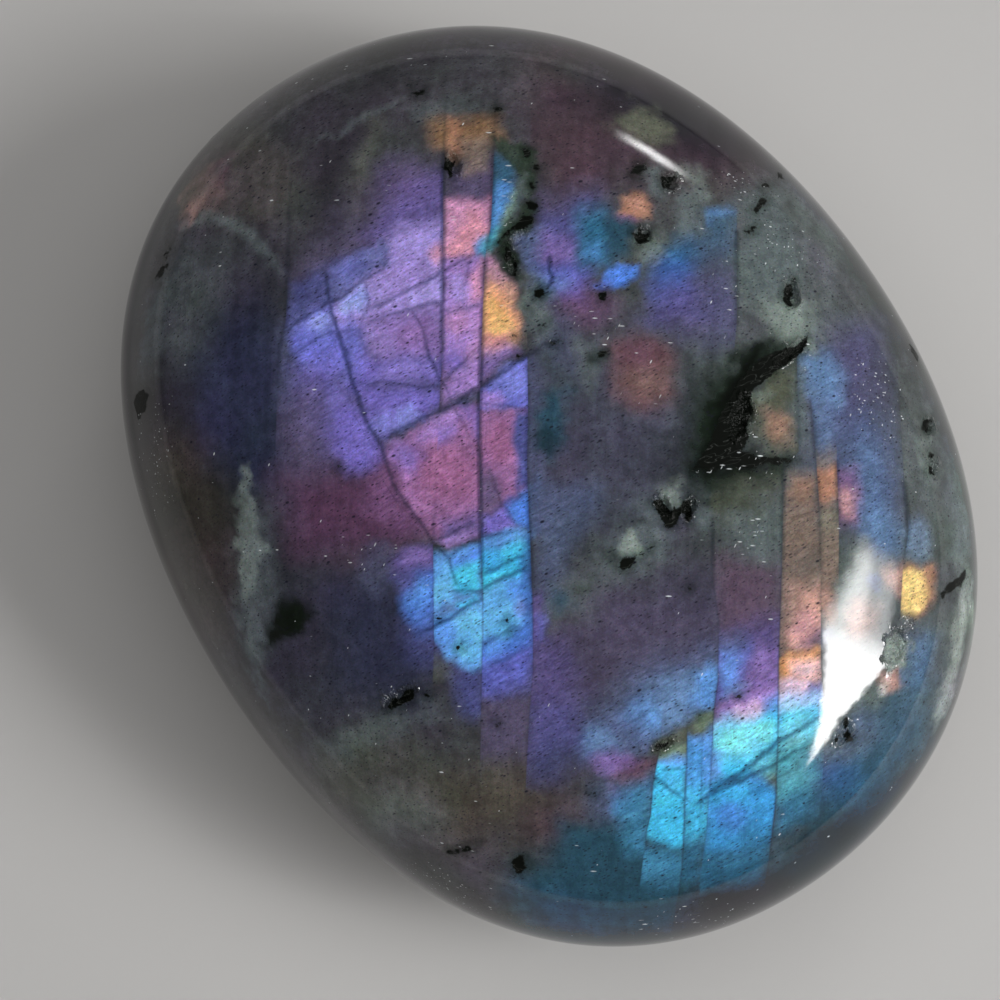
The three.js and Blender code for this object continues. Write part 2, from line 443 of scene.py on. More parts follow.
# Dark mineral grains with sharp edges.
GRAIN_REACH = 14  # pixels from a grain that are still measured
GRAINS = [
    # the branched grain right of the middle
    [(808, 336), (808, 344), (797, 357), (785, 365), (774, 374), (762, 383), (753, 390), (751, 397),
     (754, 412), (746, 428), (749, 438), (742, 451), (760, 457), (778, 458), (800, 459), (793, 462),
     (778, 465), (767, 463), (748, 470), (729, 466), (711, 472), (700, 468), (690, 473), (702, 455),
     (708, 447), (717, 422), (731, 396), (741, 378), (756, 362), (769, 353), (794, 346)],
    # the forked grain under it
    [(652, 501), (657, 498), (662, 499), (668, 507), (671, 510), (674, 506), (681, 508), (684, 501),
     (691, 500), (693, 513), (690, 524), (686, 522), (685, 513), (680, 514), (678, 522), (672, 528),
     (664, 527), (661, 518), (655, 508)],
    [(619, 568), (622, 558), (632, 556), (637, 557), (632, 566), (626, 571)],
    [(634, 557), (644, 551), (655, 545), (646, 552), (637, 558)],
    # the vein at the top
    [(526, 201), (537, 201), (539, 207), (535, 211), (528, 210)],
    [(533, 214), (534, 221), (528, 226), (517, 230), (506, 238), (497, 243), (503, 234), (514, 225),
     (524, 215)],
    [(506, 243), (510, 247), (512, 257), (508, 263), (504, 260)],
    [(514, 258), (517, 262), (516, 275), (512, 276), (513, 266)],
    [(523, 148), (532, 149), (529, 157), (525, 159)],
    [(532, 164), (541, 167), (536, 171), (534, 168)],
    [(531, 180), (534, 184), (532, 189), (529, 186)],
    [(447, 157), (456, 158), (452, 168), (454, 177), (450, 178), (443, 167)],
    # star-shaped and single grains
    [(640, 226), (644, 231), (651, 231), (648, 237), (651, 243), (642, 242), (636, 245), (636, 238),
     (631, 233), (637, 232)],
    [(660, 177), (668, 174), (675, 176), (672, 182), (673, 189), (667, 187), (664, 190), (661, 184)],
    [(795, 278), (796, 290), (794, 305), (788, 307), (783, 298), (785, 286)],
    [(924, 419), (932, 418), (933, 429), (928, 433), (922, 430)],
    [(930, 452), (934, 455), (932, 459), (929, 457)],
    [(930, 465), (936, 467), (935, 475), (928, 473)],
    [(657, 744), (669, 743), (666, 749), (655, 752)],
    [(699, 713), (703, 712), (700, 717), (697, 717)],
    [(634, 165), (645, 163), (648, 168), (640, 175), (631, 173)],
    [(760, 197), (768, 199), (764, 207), (756, 213), (752, 212), (758, 205)],
    [(762, 183), (772, 184), (770, 187), (761, 187)],
    [(744, 232), (753, 226), (759, 226), (755, 231), (747, 235)],
    [(775, 172), (781, 173), (785, 180), (779, 179)],
    [(493, 107), (502, 108), (500, 111), (494, 112)],
    [(412, 93), (424, 89), (425, 94), (415, 97)],
    [(409, 85), (415, 83), (413, 88)],
    [(534, 289), (543, 288), (546, 293), (540, 297), (535, 296)],
    [(598, 293), (604, 290), (609, 295), (605, 301), (599, 300)],
    [(543, 324), (548, 322), (545, 328), (542, 329)],
    [(550, 342), (557, 339), (562, 340), (556, 344), (551, 344)],
    [(512, 358), (517, 353), (524, 352), (519, 358)],
    [(592, 358), (600, 352), (608, 351), (602, 358), (595, 360)],
    # the chain of grains at the lower left
    [(386, 706), (392, 699), (399, 700), (404, 690), (413, 689), (415, 698), (405, 705), (396, 707),
     (391, 711)],
    [(423, 692), (431, 694), (430, 698), (424, 696)],
    # chips and dark bits by the bright edge
    [(843, 719), (848, 712), (850, 728), (853, 742), (846, 742), (848, 732)],
    [(834, 741), (842, 737), (840, 743)],
    [(940, 595), (946, 584), (956, 580), (966, 570), (967, 578), (958, 588), (948, 594), (942, 599)],
    [(446, 851), (470, 846), (482, 841), (470, 851), (452, 855)],
    [(512, 862), (517, 855), (524, 857), (527, 868), (519, 875), (513, 872)],
    [(590, 792), (598, 790), (600, 792), (593, 795)],
    oval(497, 724, 3, 3),
    # the left rim
    [(163, 257), (170, 246), (173, 247), (167, 257)],
    [(153, 282), (160, 268), (170, 261), (165, 270), (158, 282)],
    [(132, 400), (140, 388), (148, 392), (146, 410), (138, 420)],
    [(203, 139), (213, 131), (221, 126), (214, 136), (205, 144)],
    [(908, 342), (915, 350), (920, 362), (914, 358)],
    # dark specks along the flashes
    oval(512, 632, 5, 2, -35),
    oval(507, 620, 3, 2, -35),
    oval(459, 647, 5, 2, -35),
    oval(438, 619, 4, 2, -20),
    oval(338, 467, 4, 2, -20),
    oval(739, 697, 4, 2, -20),
    oval(514, 336, 3, 2),
    oval(690, 588, 2, 2),
]

# The palette: colours as they look to the camera, 0 to 255.
SEEN = {
    "lavender": (152, 136, 202),
    "pale lavender": (166, 152, 220),
    "periwinkle": (106, 110, 194),
    "bright periwinkle": (146, 156, 232),
    "dusk blue": (78, 82, 138),
    "violet": (115, 104, 186),
    "dim violet": (92, 82, 134),
    "grey violet": (82, 74, 102),
    "mauve": (131, 107, 170),
    "lilac": (158, 126, 194),
    "plum": (112, 78, 116),
    "dark plum": (76, 52, 74),
    "pink": (192, 138, 174),
    "coral": (206, 142, 160),
    "amber": (246, 176, 116),
    "white": (206, 212, 208),
    "dusty sky": (102, 136, 178),
    "dusty blue": (84, 98, 134),
    "bright cyan": (124, 222, 252),
    "pale sky": (162, 198, 244),
    "steel cyan": (66, 130, 166),
    "sea green": (84, 148, 164),
    "dim amber": (142, 108, 76),
    "rose": (145, 102, 148),
    "deep rose": (150, 95, 132),
    "sky cyan": (64, 148, 208),
    "dull fog": (82, 89, 89),
    "sage": (98, 102, 88),
    "facet blue": (100, 104, 158),
    "dusty coral": (182, 126, 130),
    "pale tan": (142, 128, 114),
    "cyan": (72, 188, 234),
    "pale cyan": (102, 178, 242),
    "sky": (98, 156, 226),
    "blue": (78, 122, 206),
    "deep blue": (60, 98, 168),
    "blue violet": (90, 96, 174),
    "navy": (42, 46, 70),
    "teal": (50, 100, 130),
    "dark teal": (40, 70, 86),
    "turquoise": (84, 172, 190),
    "leaf": (136, 162, 136),
    "orange": (176, 128, 104),
    "salmon": (212, 162, 148),
    "red": (104, 74, 78),
    "tan": (124, 108, 98),
    "gold": (250, 214, 140),
    "cream": (236, 204, 226),
    "slate": (74, 78, 104),
    "smoke": (62, 62, 66),
    "soot": (42, 40, 46),
    "ink": (46, 46, 56),
    "fog": (94, 104, 106),
    "pale fog": (126, 138, 132),
    "rim light": (172, 182, 176),
    "moss": (50, 62, 52),
    "dark moss": (32, 42, 34),
    "night": (15, 20, 15),
    "olive": (80, 84, 70),
    "brown": (72, 66, 60),
    "maroon": (72, 56, 64),
    "wine": (94, 68, 84),
}

# The stone's own colours, laid over each other: colour, softness of the edge, how much it covers,
# first and last strip, outline.
GROUND = [
    ("dull fog", 260, 1.0, ALL, oval(890, 400, 210, 420, -18)),
    ("ink", 150, 1.0, ALL, oval(215, 400, 110, 240)),
    ("soot", 60, 1.0, ALL, oval(195, 510, 50, 70, 10)),
    ("dull fog", 60, 0.5, ALL, oval(196, 290, 30, 70, 10)),
    ("navy", 60, 0.8, ALL, oval(245, 400, 50, 90)),
    ("smoke", 90, 0.9, ALL, oval(240, 160, 110, 90)),
    ("brown", 40, 0.4, ALL, oval(240, 180, 60, 50)),
    ("soot", 30, 0.8, ALL, [(306, 240), (306, 180), (316, 132), (350, 110), (376, 104), (350, 150),
        (334, 236)]),
    ("soot", 40, 0.7, ALL, oval(330, 108, 60, 24, -24)),
    ("olive", 24, 0.35, ALL, [(346, 216), (356, 160), (372, 116), (386, 116), (372, 170), (356, 220)]),
    ("maroon", 110, 1.0, ALL, oval(650, 120, 120, 60, 24)),
    ("soot", 60, 1.0, ALL, oval(666, 112, 90, 34, 24)),
    ("soot", 40, 0.6, ALL, oval(400, 60, 90, 20, -12)),
    ("soot", 50, 1.0, ALL, oval(156, 470, 36, 150, -12)),
    ("soot", 50, 0.8, ALL, oval(400, 890, 110, 24, 34)),
    ("ink", 50, 0.8, ALL, oval(850, 846, 90, 24, -44)),
    # painted shade: darker where the left rim leans over
    ("night", 50, 0.4, ALL, oval(190, 510, 34, 50, 10)),
    ("smoke", 30, 0.8, ALL, oval(580, 74, 30, 12, 10)),
    ("smoke", 80, 0.5, ALL, oval(880, 330, 50, 90, -20)),
    ("ink", 110, 1.0, ALL, oval(340, 650, 120, 90, 30)),
    ("brown", 60, 0.6, ALL, oval(190, 540, 45, 110, -12)),
    ("smoke", 90, 0.9, ALL, oval(450, 870, 130, 60)),
    ("olive", 60, 0.4, ALL, oval(380, 780, 60, 50)),
    ("brown", 60, 0.9, ALL, oval(480, 806, 80, 36, -10)),
    ("red", 50, 0.3, ALL, oval(564, 834, 36, 20, -10)),
    ("slate", 120, 0.35, ALL, oval(620, 450, 90, 110)),
    ("dull fog", 50, 0.6, ALL, oval(404, 820, 40, 26)),
    ("dark teal", 60, 1.0, ALL, oval(610, 886, 100, 54, -10)),
    ("dark teal", 60, 0.7, ALL, oval(820, 830, 80, 50, -40)),
    ("ink", 40, 0.7, ALL, oval(735, 900, 60, 18, -12)),
]

# Painted reflections: pale slivers at the right edge, where the polish mirrors the bright room, laid over the
# crown's ground alone, in the same way.
RIM_REFLECTIONS = [
    ("rim light", 12, 0.6, ALL, [(962, 556), (974, 572), (968, 640), (954, 696), (938, 724), (936, 704),
        (948, 668), (957, 612)]),
    ("fog", 16, 0.8, ALL, [(944, 440), (962, 470), (972, 540), (966, 600), (956, 560), (950, 500)]),
]

# Flashes of colour under the polish, in the same way: the labradorescence, a sheen from within the stone,
# painted into its colour.
LAVENDER_FLASH = [
    ("grey violet", 60, 0.8, (0, 1), [(300, 270), (340, 220), (400, 176), (446, 170), (446, 260),
        (380, 290)]),
    ("grey violet", 30, 0.9, (2, 2), [(440, 160), (500, 164), (500, 220), (440, 220)]),
    ("dim violet", 40, 1.0, (1, 1), [(366, 236), (396, 190), (446, 170), (446, 250), (392, 262)]),
    ("slate", 30, 0.9, (0, 1), [(280, 330), (326, 302), (342, 296), (342, 440), (300, 450), (276, 390)]),
    ("lavender", 26, 1.0, (1, 1), [(320, 312), (345, 290), (366, 276), (380, 250), (410, 226), (446, 220),
        (446, 330), (338, 336)]),
    ("mauve", 40, 0.25, (1, 1), oval(404, 182, 24, 22)),
    ("mauve", 30, 0.4, (1, 1), oval(408, 276, 24, 20, -20)),
    ("facet blue", 7, 0.9, (1, 1), [(322, 304), (330, 264), (360, 244), (392, 246), (388, 266),
        (362, 280), (342, 295), (327, 302)]),
    ("dusk blue", 20, 0.7, (1, 1), [(288, 330), (292, 280), (330, 262), (330, 302)]),
    ("periwinkle", 24, 0.4, (1, 1), oval(350, 268, 16, 14)),
    ("periwinkle", 16, 1.0, (1, 1), [(292, 350), (294, 330), (328, 304), (336, 330), (348, 362),
        (330, 376), (296, 366)]),
    ("bright periwinkle", 12, 0.8, (1, 1), [(306, 332), (314, 318), (331, 314), (334, 330), (322, 336)]),
    ("violet", 36, 0.62, (1, 1), [(292, 372), (336, 350), (352, 380), (372, 425), (384, 455), (362, 468),
        (320, 460), (296, 430)]),
    ("grey violet", 36, 0.8, (1, 1), oval(304, 428, 26, 44)),
    ("bright periwinkle", 12, 1.0, (1, 1), [(336, 312), (340, 299), (366, 284), (371, 290), (366, 308),
        (346, 316)]),
    ("pale lavender", 14, 0.7, (1, 1), [(408, 292), (436, 279), (441, 286), (440, 300), (412, 304)]),
    ("periwinkle", 22, 0.8, (1, 1), [(336, 326), (350, 318), (364, 330), (366, 372), (358, 388),
        (350, 376)]),
    ("mauve", 30, 1.0, (1, 1), [(362, 322), (392, 312), (442, 304), (444, 358), (400, 362), (368, 350)]),
    ("rose", 26, 0.3, (1, 1), oval(416, 330, 20, 12, -15)),
    ("lavender", 24, 0.35, (1, 1), oval(380, 342, 20, 18)),
    ("violet", 26, 1.0, (1, 1), [(354, 356), (440, 362), (446, 384), (404, 384), (356, 382)]),
    ("lavender", 20, 0.4, (1, 1), oval(404, 372, 30, 9)),
    ("violet", 12, 0.9, (1, 1), [(358, 386), (438, 390), (446, 400), (418, 420), (386, 437), (370, 424)]),
    ("bright periwinkle", 16, 0.7, (1, 1), [(390, 430), (396, 412), (414, 404), (420, 414), (402, 428)]),
    ("bright periwinkle", 14, 0.4, (1, 1), oval(379, 424, 9, 8, -20)),
    ("violet", 16, 0.8, (1, 1), [(340, 412), (356, 408), (372, 432), (382, 452), (366, 466), (342, 456)]),
    ("coral", 16, 0.8, (1, 1), [(430, 254), (436, 246), (446, 242), (446, 260), (434, 264)]),
    ("pink", 16, 1.0, (2, 2), [(440, 202), (494, 200), (494, 238), (470, 252), (440, 262)]),
    ("coral", 18, 0.9, (2, 2), [(448, 250), (456, 232), (468, 212), (486, 210), (488, 232), (470, 250),
        (454, 260)]),
    ("sky", 10, 0.6, (2, 2), [(472, 256), (478, 240), (488, 232), (490, 258)]),
    ("lilac", 14, 1.0, (2, 2), [(440, 262), (474, 256), (486, 262), (486, 306), (440, 310)]),
    ("pale lavender", 14, 0.5, (2, 2), oval(456, 286, 12, 16)),
    ("coral", 16, 0.7, (2, 2), [(468, 302), (472, 274), (486, 262), (486, 304)]),
    ("lilac", 14, 1.0, (2, 2), [(440, 308), (484, 304), (484, 350), (452, 372), (440, 380)]),
    ("pink", 18, 0.5, (2, 2), oval(457, 322, 12, 14)),
    ("pink", 16, 0.4, (2, 2), [(472, 310), (486, 304), (486, 372), (474, 380)]),
    ("violet", 18, 0.7, (2, 2), oval(452, 362, 12, 12)),
    ("lilac", 12, 0.9, (2, 2), [(442, 384), (484, 352), (484, 388), (462, 398), (446, 404)]),
    ("slate", 12, 0.75, (1, 2), [(384, 440), (418, 420), (446, 402), (482, 384), (482, 398), (450, 414),
        (414, 432), (388, 446)]),
    ("coral", 10, 0.9, (3, 3), [(478, 256), (488, 254), (496, 270), (486, 286), (478, 290)]),
    ("salmon", 16, 1.0, (3, 3), [(478, 268), (494, 268), (508, 288), (518, 318), (512, 344), (494, 358),
        (478, 352)]),
    ("mauve", 14, 0.6, (3, 3), [(478, 262), (492, 262), (504, 282), (498, 290), (478, 294)]),
    ("orange", 14, 0.5, (3, 3), [(480, 280), (492, 270), (506, 290), (500, 300), (480, 304)]),
    ("amber", 20, 1.0, (3, 3), [(482, 304), (494, 292), (508, 300), (516, 320), (508, 336), (494, 342),
        (482, 338)]),
    ("dusty coral", 14, 0.9, (3, 3), [(480, 338), (506, 332), (506, 350), (480, 358)]),
    ("mauve", 18, 0.8, (3, 3), [(480, 356), (506, 346), (520, 350), (490, 376), (480, 382)]),
    ("tan", 16, 0.25, (3, 3), oval(522, 326, 9, 12)),
    ("periwinkle", 10, 1.0, (3, 3), [(478, 392), (502, 373), (530, 356), (532, 410), (478, 406)]),
    ("bright periwinkle", 20, 0.35, (3, 3), oval(512, 382, 14, 12)),
    ("lilac", 12, 0.8, (3, 3), oval(489, 398, 12, 8)),
    ("slate", 16, 0.9, (4, 4), [(520, 352), (538, 350), (540, 466), (520, 466)]),
]
ROSE_FLASH = [
    ("grey violet", 50, 0.7, (0, 1), [(290, 440), (380, 440), (400, 520), (330, 540), (284, 500)]),
    ("dark plum", 60, 1.0, (0, 1), [(284, 480), (400, 460), (430, 520), (380, 556), (296, 548)]),
    ("violet", 24, 0.9, (1, 1), [(334, 432), (352, 410), (372, 432), (380, 450), (372, 466), (342, 472)]),
    ("plum", 36, 0.9, (1, 1), [(372, 470), (386, 450), (404, 500), (424, 532), (396, 530), (362, 506)]),
    ("rose", 12, 1.0, (1, 2), [(386, 448), (420, 424), (452, 410), (482, 402), (482, 520), (436, 538),
        (404, 494)]),
    ("lilac", 18, 0.8, (1, 2), oval(442, 423, 28, 11, -28)),
    ("lilac", 14, 0.5, (1, 1), oval(397, 450, 9, 9)),
    ("deep rose", 30, 0.7, (1, 2), oval(448, 474, 30, 28)),
    ("plum", 24, 0.4, (1, 2), oval(440, 522, 22, 12, -20)),
    ("violet", 12, 0.5, (2, 2), [(462, 402), (484, 402), (484, 440), (474, 432)]),
    ("rose", 10, 1.0, (3, 3), [(478, 408), (532, 410), (532, 490), (508, 502), (478, 521)]),
    ("deep rose", 20, 0.7, (3, 3), oval(497, 442, 16, 22)),
    ("slate", 18, 0.7, (3, 3), [(476, 470), (490, 476), (506, 504), (478, 522)]),
    ("dusk blue", 12, 1.0, (3, 3), [(512, 412), (536, 410), (536, 488), (514, 494)]),
    ("violet", 22, 0.6, (1, 2), oval(408, 458, 14, 18, -20)),
    ("violet", 18, 0.5, (2, 2), oval(440, 436, 18, 9, -28)),
    ("dim violet", 16, 0.8, (2, 2), [(444, 522), (482, 508), (482, 528), (446, 540)]),
    ("violet", 12, 1.0, (3, 3), [(478, 532), (484, 518), (508, 502), (516, 530), (490, 534)]),
    ("blue", 10, 1.0, (3, 3), [(506, 506), (532, 488), (532, 530), (516, 526)]),
    ("sky", 10, 0.6, (4, 4), [(524, 488), (540, 476), (536, 528), (524, 540)]),
    ("slate", 30, 0.9, (4, 4), [(520, 440), (548, 452), (546, 530), (520, 540)]),
    ("dusty blue", 34, 0.5, (4, 4), [(536, 480), (596, 486), (596, 516), (566, 560), (560, 606),
        (536, 606)]),
    ("lilac", 10, 0.6, (2, 2), [(434, 541), (480, 524), (480, 534), (450, 546)]),
]
BLUE_FLASH = [
    ("navy", 60, 0.6, (0, 1), [(330, 590), (400, 570), (440, 640), (420, 700), (340, 690)]),
    ("slate", 24, 0.6, (1, 1), oval(378, 568, 16, 26)),
    ("dim violet", 18, 1.0, (1, 1), [(390, 560), (402, 548), (436, 546), (436, 572), (412, 580),
        (394, 576)]),
    ("mauve", 16, 0.5, (1, 1), oval(414, 558, 16, 8, -10)),
    ("dusk blue", 20, 0.9, (1, 1), [(394, 574), (436, 566), (436, 582), (404, 594)]),
    ("blue", 22, 1.0, (1, 1), [(404, 600), (418, 578), (436, 572), (436, 628), (420, 634), (406, 614)]),
    ("sky", 18, 0.5, (1, 1), oval(420, 592, 9, 12, 10)),
    ("dusk blue", 40, 0.5, (1, 2), oval(428, 640, 24, 26)),
    ("sky", 14, 1.0, (2, 2), [(430, 556), (450, 552), (484, 542), (484, 650), (470, 670), (452, 660),
        (430, 634)]),
    ("pale cyan", 14, 0.8, (2, 2), [(434, 576), (446, 562), (456, 582), (452, 604), (434, 606)]),
    ("blue", 12, 0.8, (2, 2), [(450, 560), (482, 544), (482, 558), (456, 570)]),
    ("cyan", 10, 0.9, (2, 2), [(452, 566), (466, 562), (484, 556), (484, 588), (458, 590)]),
    ("slate", 9, 0.6, (2, 2), [(434, 612), (456, 596), (484, 584), (484, 594), (460, 606), (434, 622)]),
    ("cyan", 6, 0.7, (2, 2), [(455, 604), (466, 596), (480, 594), (480, 600), (462, 608)]),
    ("pale cyan", 14, 1.0, (2, 2), [(454, 622), (482, 604), (484, 666), (462, 668), (452, 650)]),
    ("blue", 14, 0.4, (2, 2), oval(440, 630, 8, 14)),
    ("olive", 16, 0.5, (2, 2), [(430, 652), (452, 656), (454, 680), (430, 680)]),
    ("sky", 9, 0.9, (3, 3), [(478, 536), (534, 530), (534, 556), (478, 556)]),
    ("cyan", 10, 1.0, (3, 3), [(478, 552), (528, 542), (528, 590), (478, 594)]),
    ("turquoise", 12, 0.4, (3, 3), [(512, 538), (528, 536), (528, 552), (512, 552)]),
    ("sky cyan", 14, 0.7, (3, 3), oval(494, 557, 13, 11)),
    ("pale cyan", 10, 0.9, (3, 3), [(478, 592), (502, 580), (528, 574), (528, 620), (500, 640),
        (478, 642)]),
    ("blue", 14, 0.7, (3, 3), [(504, 584), (530, 574), (530, 600), (508, 602)]),
    ("violet", 14, 0.6, (3, 3), oval(521, 608, 9, 8)),
    ("turquoise", 14, 0.35, (3, 3), oval(502, 624, 10, 6, -30)),
    ("deep blue", 9, 0.7, (3, 3), [(520, 536), (533, 534), (534, 626), (522, 630)]),
    ("blue", 14, 1.0, (3, 3), [(478, 644), (502, 634), (532, 620), (534, 656), (478, 672)]),
    ("sky", 16, 0.5, (3, 3), oval(494, 642, 9, 12, 20)),
    ("blue violet", 24, 1.0, (3, 3), [(478, 664), (510, 652), (536, 640), (534, 686), (500, 700),
        (478, 700)]),
    ("grey violet", 36, 0.8, (3, 3), [(478, 700), (534, 690), (530, 754), (478, 760)]),
    ("dusk blue", 26, 0.8, (2, 2), [(452, 664), (484, 664), (484, 718), (458, 716)]),
    ("dim violet", 12, 0.9, (4, 4), [(528, 596), (540, 592), (546, 620), (536, 640), (528, 650)]),
    ("blue violet", 12, 0.6, (4, 4), [(536, 616), (547, 612), (547, 640), (536, 646)]),
    ("dim violet", 50, 0.8, (4, 4), [(528, 640), (566, 640), (580, 690), (566, 740), (526, 750)]),
    ("dusk blue", 44, 0.5, (4, 4), [(528, 710), (572, 700), (600, 740), (560, 780), (524, 780)]),
    ("deep blue", 24, 0.5, (4, 4), oval(600, 742, 16, 14)),
]
UPPER_FLASH = [
    ("dim amber", 24, 0.68, ALL, [(428, 120), (500, 120), (500, 138), (470, 146), (436, 144)]),
    ("orange", 14, 0.6, (2, 2), [(448, 120), (462, 120), (462, 152), (448, 152)]),
    ("tan", 20, 0.7, ALL, [(460, 140), (484, 138), (484, 170), (462, 174)]),
    ("teal", 24, 0.7, (3, 3), [(490, 160), (512, 158), (514, 200), (504, 226), (486, 240), (480, 220)]),
    ("sky", 12, 0.65, (3, 3), [(494, 186), (511, 184), (508, 212), (498, 228), (490, 240), (488, 220)]),
    ("turquoise", 12, 0.7, ALL, [(482, 254), (486, 234), (500, 220), (505, 224), (496, 242), (488, 258)]),
    ("leaf", 8, 0.55, ALL, [(498, 234), (507, 218), (510, 196), (515, 192), (514, 214), (503, 234)]),
    ("maroon", 50, 0.8, (4, 4), [(536, 118), (600, 118), (606, 180), (560, 190), (534, 160)]),
    ("wine", 40, 0.3, (4, 4), oval(584, 176, 20, 14)),
    ("grey violet", 50, 0.9, (4, 4), [(540, 190), (600, 190), (608, 240), (560, 280), (534, 250)]),
    ("dusk blue", 40, 0.8, (4, 4), [(540, 222), (590, 206), (600, 260), (560, 290), (534, 270)]),
    ("dusty blue", 18, 0.9, (3, 4), [(516, 232), (542, 232), (546, 300), (530, 300)]),
    ("blue violet", 26, 1.0, (4, 4), [(536, 262), (566, 266), (590, 274), (584, 298), (548, 302)]),
    ("periwinkle", 24, 0.8, (4, 4), oval(558, 284, 18, 11)),
    ("mauve", 26, 0.7, (4, 4), oval(554, 250, 20, 13)),
    ("plum", 36, 0.6, (4, 4), oval(584, 304, 30, 18)),
    ("slate", 36, 0.8, (4, 4), oval(556, 354, 18, 46)),
    ("teal", 26, 1.0, (4, 4), [(580, 216), (604, 208), (616, 230), (612, 262), (586, 268), (574, 248)]),
    ("sky", 20, 0.5, (4, 4), oval(593, 250, 10, 9)),
    ("dark teal", 16, 0.9, (4, 4), [(604, 222), (620, 214), (634, 230), (630, 250), (612, 250)]),
    ("blue", 7, 1.0, (4, 4), [(594, 287), (605, 280), (608, 268), (619, 259), (638, 262), (638, 275),
        (618, 289), (605, 286)]),
    ("blue violet", 8, 0.6, (4, 4), oval(603, 285, 9, 4, -12)),
    ("deep blue", 30, 0.8, (4, 7), [(650, 282), (652, 260), (690, 242), (704, 262), (690, 292),
        (656, 296)]),
    ("teal", 30, 0.6, (4, 7), [(656, 250), (690, 230), (736, 210), (738, 250), (700, 262), (666, 262)]),
    ("dusk blue", 34, 0.85, (4, 7), [(648, 288), (696, 276), (704, 312), (656, 318)]),
    ("dim violet", 44, 0.6, (4, 7), [(680, 286), (736, 270), (738, 336), (690, 336), (640, 320)]),
    ("slate", 44, 0.6, (5, 7), [(700, 240), (738, 230), (738, 350), (706, 350)]),
    ("sky", 10, 0.35, ALL, [(704, 228), (712, 216), (736, 206), (736, 211), (716, 222)]),
    ("orange", 14, 1.0, ALL, [(621, 212), (624, 198), (636, 190), (647, 194), (647, 210), (634, 216)]),
    ("salmon", 12, 0.4, ALL, oval(636, 202, 7, 7)),
    ("rose", 10, 0.4, ALL, oval(626, 218, 9, 4, 10)),
    ("red", 36, 1.0, (4, 5), [(614, 344), (640, 334), (668, 350), (674, 396), (640, 408), (620, 390)]),
    ("tan", 30, 0.35, (4, 5), oval(648, 380, 22, 16)),
    ("wine", 30, 0.7, (4, 4), oval(640, 352, 16, 16)),
    # painted reflection: pale streaks where the polish mirrors the room, along the fold at the upper left
    ("fog", 14, 0.5, ALL, [(176, 222), (208, 208), (240, 220), (268, 246), (284, 270), (270, 264),
        (246, 240), (212, 224)]),
    ("fog", 7, 0.4, ALL, [(312, 142), (340, 126), (376, 111), (404, 92), (404, 95), (378, 115),
        (342, 131)]),
]
RIGHT_FLASH = [
    ("slate", 60, 0.6, (9, 11), [(800, 330), (870, 330), (900, 470), (880, 560), (800, 500)]),
    ("dim violet", 50, 0.35, (9, 12), oval(850, 384, 30, 60, 15)),
    ("dusty sky", 20, 0.6, (9, 10), oval(810, 374, 14, 22, 10)),
    ("dusty sky", 30, 0.7, (9, 11), oval(828, 376, 15, 26, -12)),
    ("dusty blue", 44, 0.8, (10, 11), oval(866, 470, 28, 60, -12)),
    ("dusty sky", 34, 0.4, (10, 11), oval(870, 476, 14, 40, -12)),
    ("dusty sky", 34, 0.7, (11, 12), oval(882, 532, 18, 26, -25)),
    ("olive", 24, 0.8, (7, 8), [(750, 400), (776, 398), (798, 404), (800, 456), (770, 456), (748, 430)]),
    ("tan", 20, 0.8, (7, 8), [(762, 410), (776, 408), (790, 412), (794, 444), (780, 450), (766, 436)]),
    ("orange", 16, 0.35, (7, 8), oval(776, 428, 9, 15, 10)),
    ("dusty sky", 24, 0.4, (10, 11), oval(826, 412, 12, 40)),
    ("pale tan", 16, 0.5, (10, 10), [(810, 448), (838, 448), (838, 470), (812, 470)]),
    ("tan", 26, 0.9, (9, 9), [(786, 478), (822, 474), (822, 550), (780, 570)]),
    ("orange", 14, 0.35, (9, 9), oval(802, 490, 12, 10)),
    ("pale tan", 26, 0.8, (10, 10), [(818, 500), (842, 500), (840, 560), (818, 560)]),
    ("orange", 12, 0.9, (10, 10), [(812, 467), (840, 466), (840, 500), (812, 504)]),
    ("sage", 14, 0.4, (10, 10), [(818, 510), (842, 508), (842, 530), (818, 532)]),
    ("pale sky", 20, 0.25, (12, 12), oval(914, 542, 14, 20)),
    ("rose", 22, 0.6, (11, 11), [(836, 472), (852, 472), (860, 498), (854, 520), (836, 524)]),
    ("salmon", 18, 0.6, (11, 11), oval(846, 504, 8, 14)),
    ("tan", 30, 0.6, (9, 10), [(782, 530), (840, 530), (836, 580), (782, 590)]),
    ("orange", 16, 0.9, (12, 12), [(900, 568), (932, 566), (931, 604), (922, 616), (900, 604)]),
    ("gold", 10, 1.0, (12, 12), [(902, 572), (924, 569), (925, 602), (918, 616), (902, 612)]),
    ("salmon", 16, 0.8, (11, 11), [(884, 568), (904, 568), (902, 598), (892, 590)]),
    # painted highlight: a pale haze above the window's reflection, drawn as a milky cloud
    ("fog", 40, 0.8, (10, 11), [(830, 640), (838, 590), (856, 552), (880, 560), (896, 600), (890, 640)]),
    ("pale fog", 24, 0.6, (10, 11), oval(850, 590, 12, 50, 14)),
    ("salmon", 26, 0.6, (11, 11), oval(860, 620, 16, 16)),
    ("dusty blue", 9, 0.9, (11, 11), oval(878, 584, 8, 9)),
]
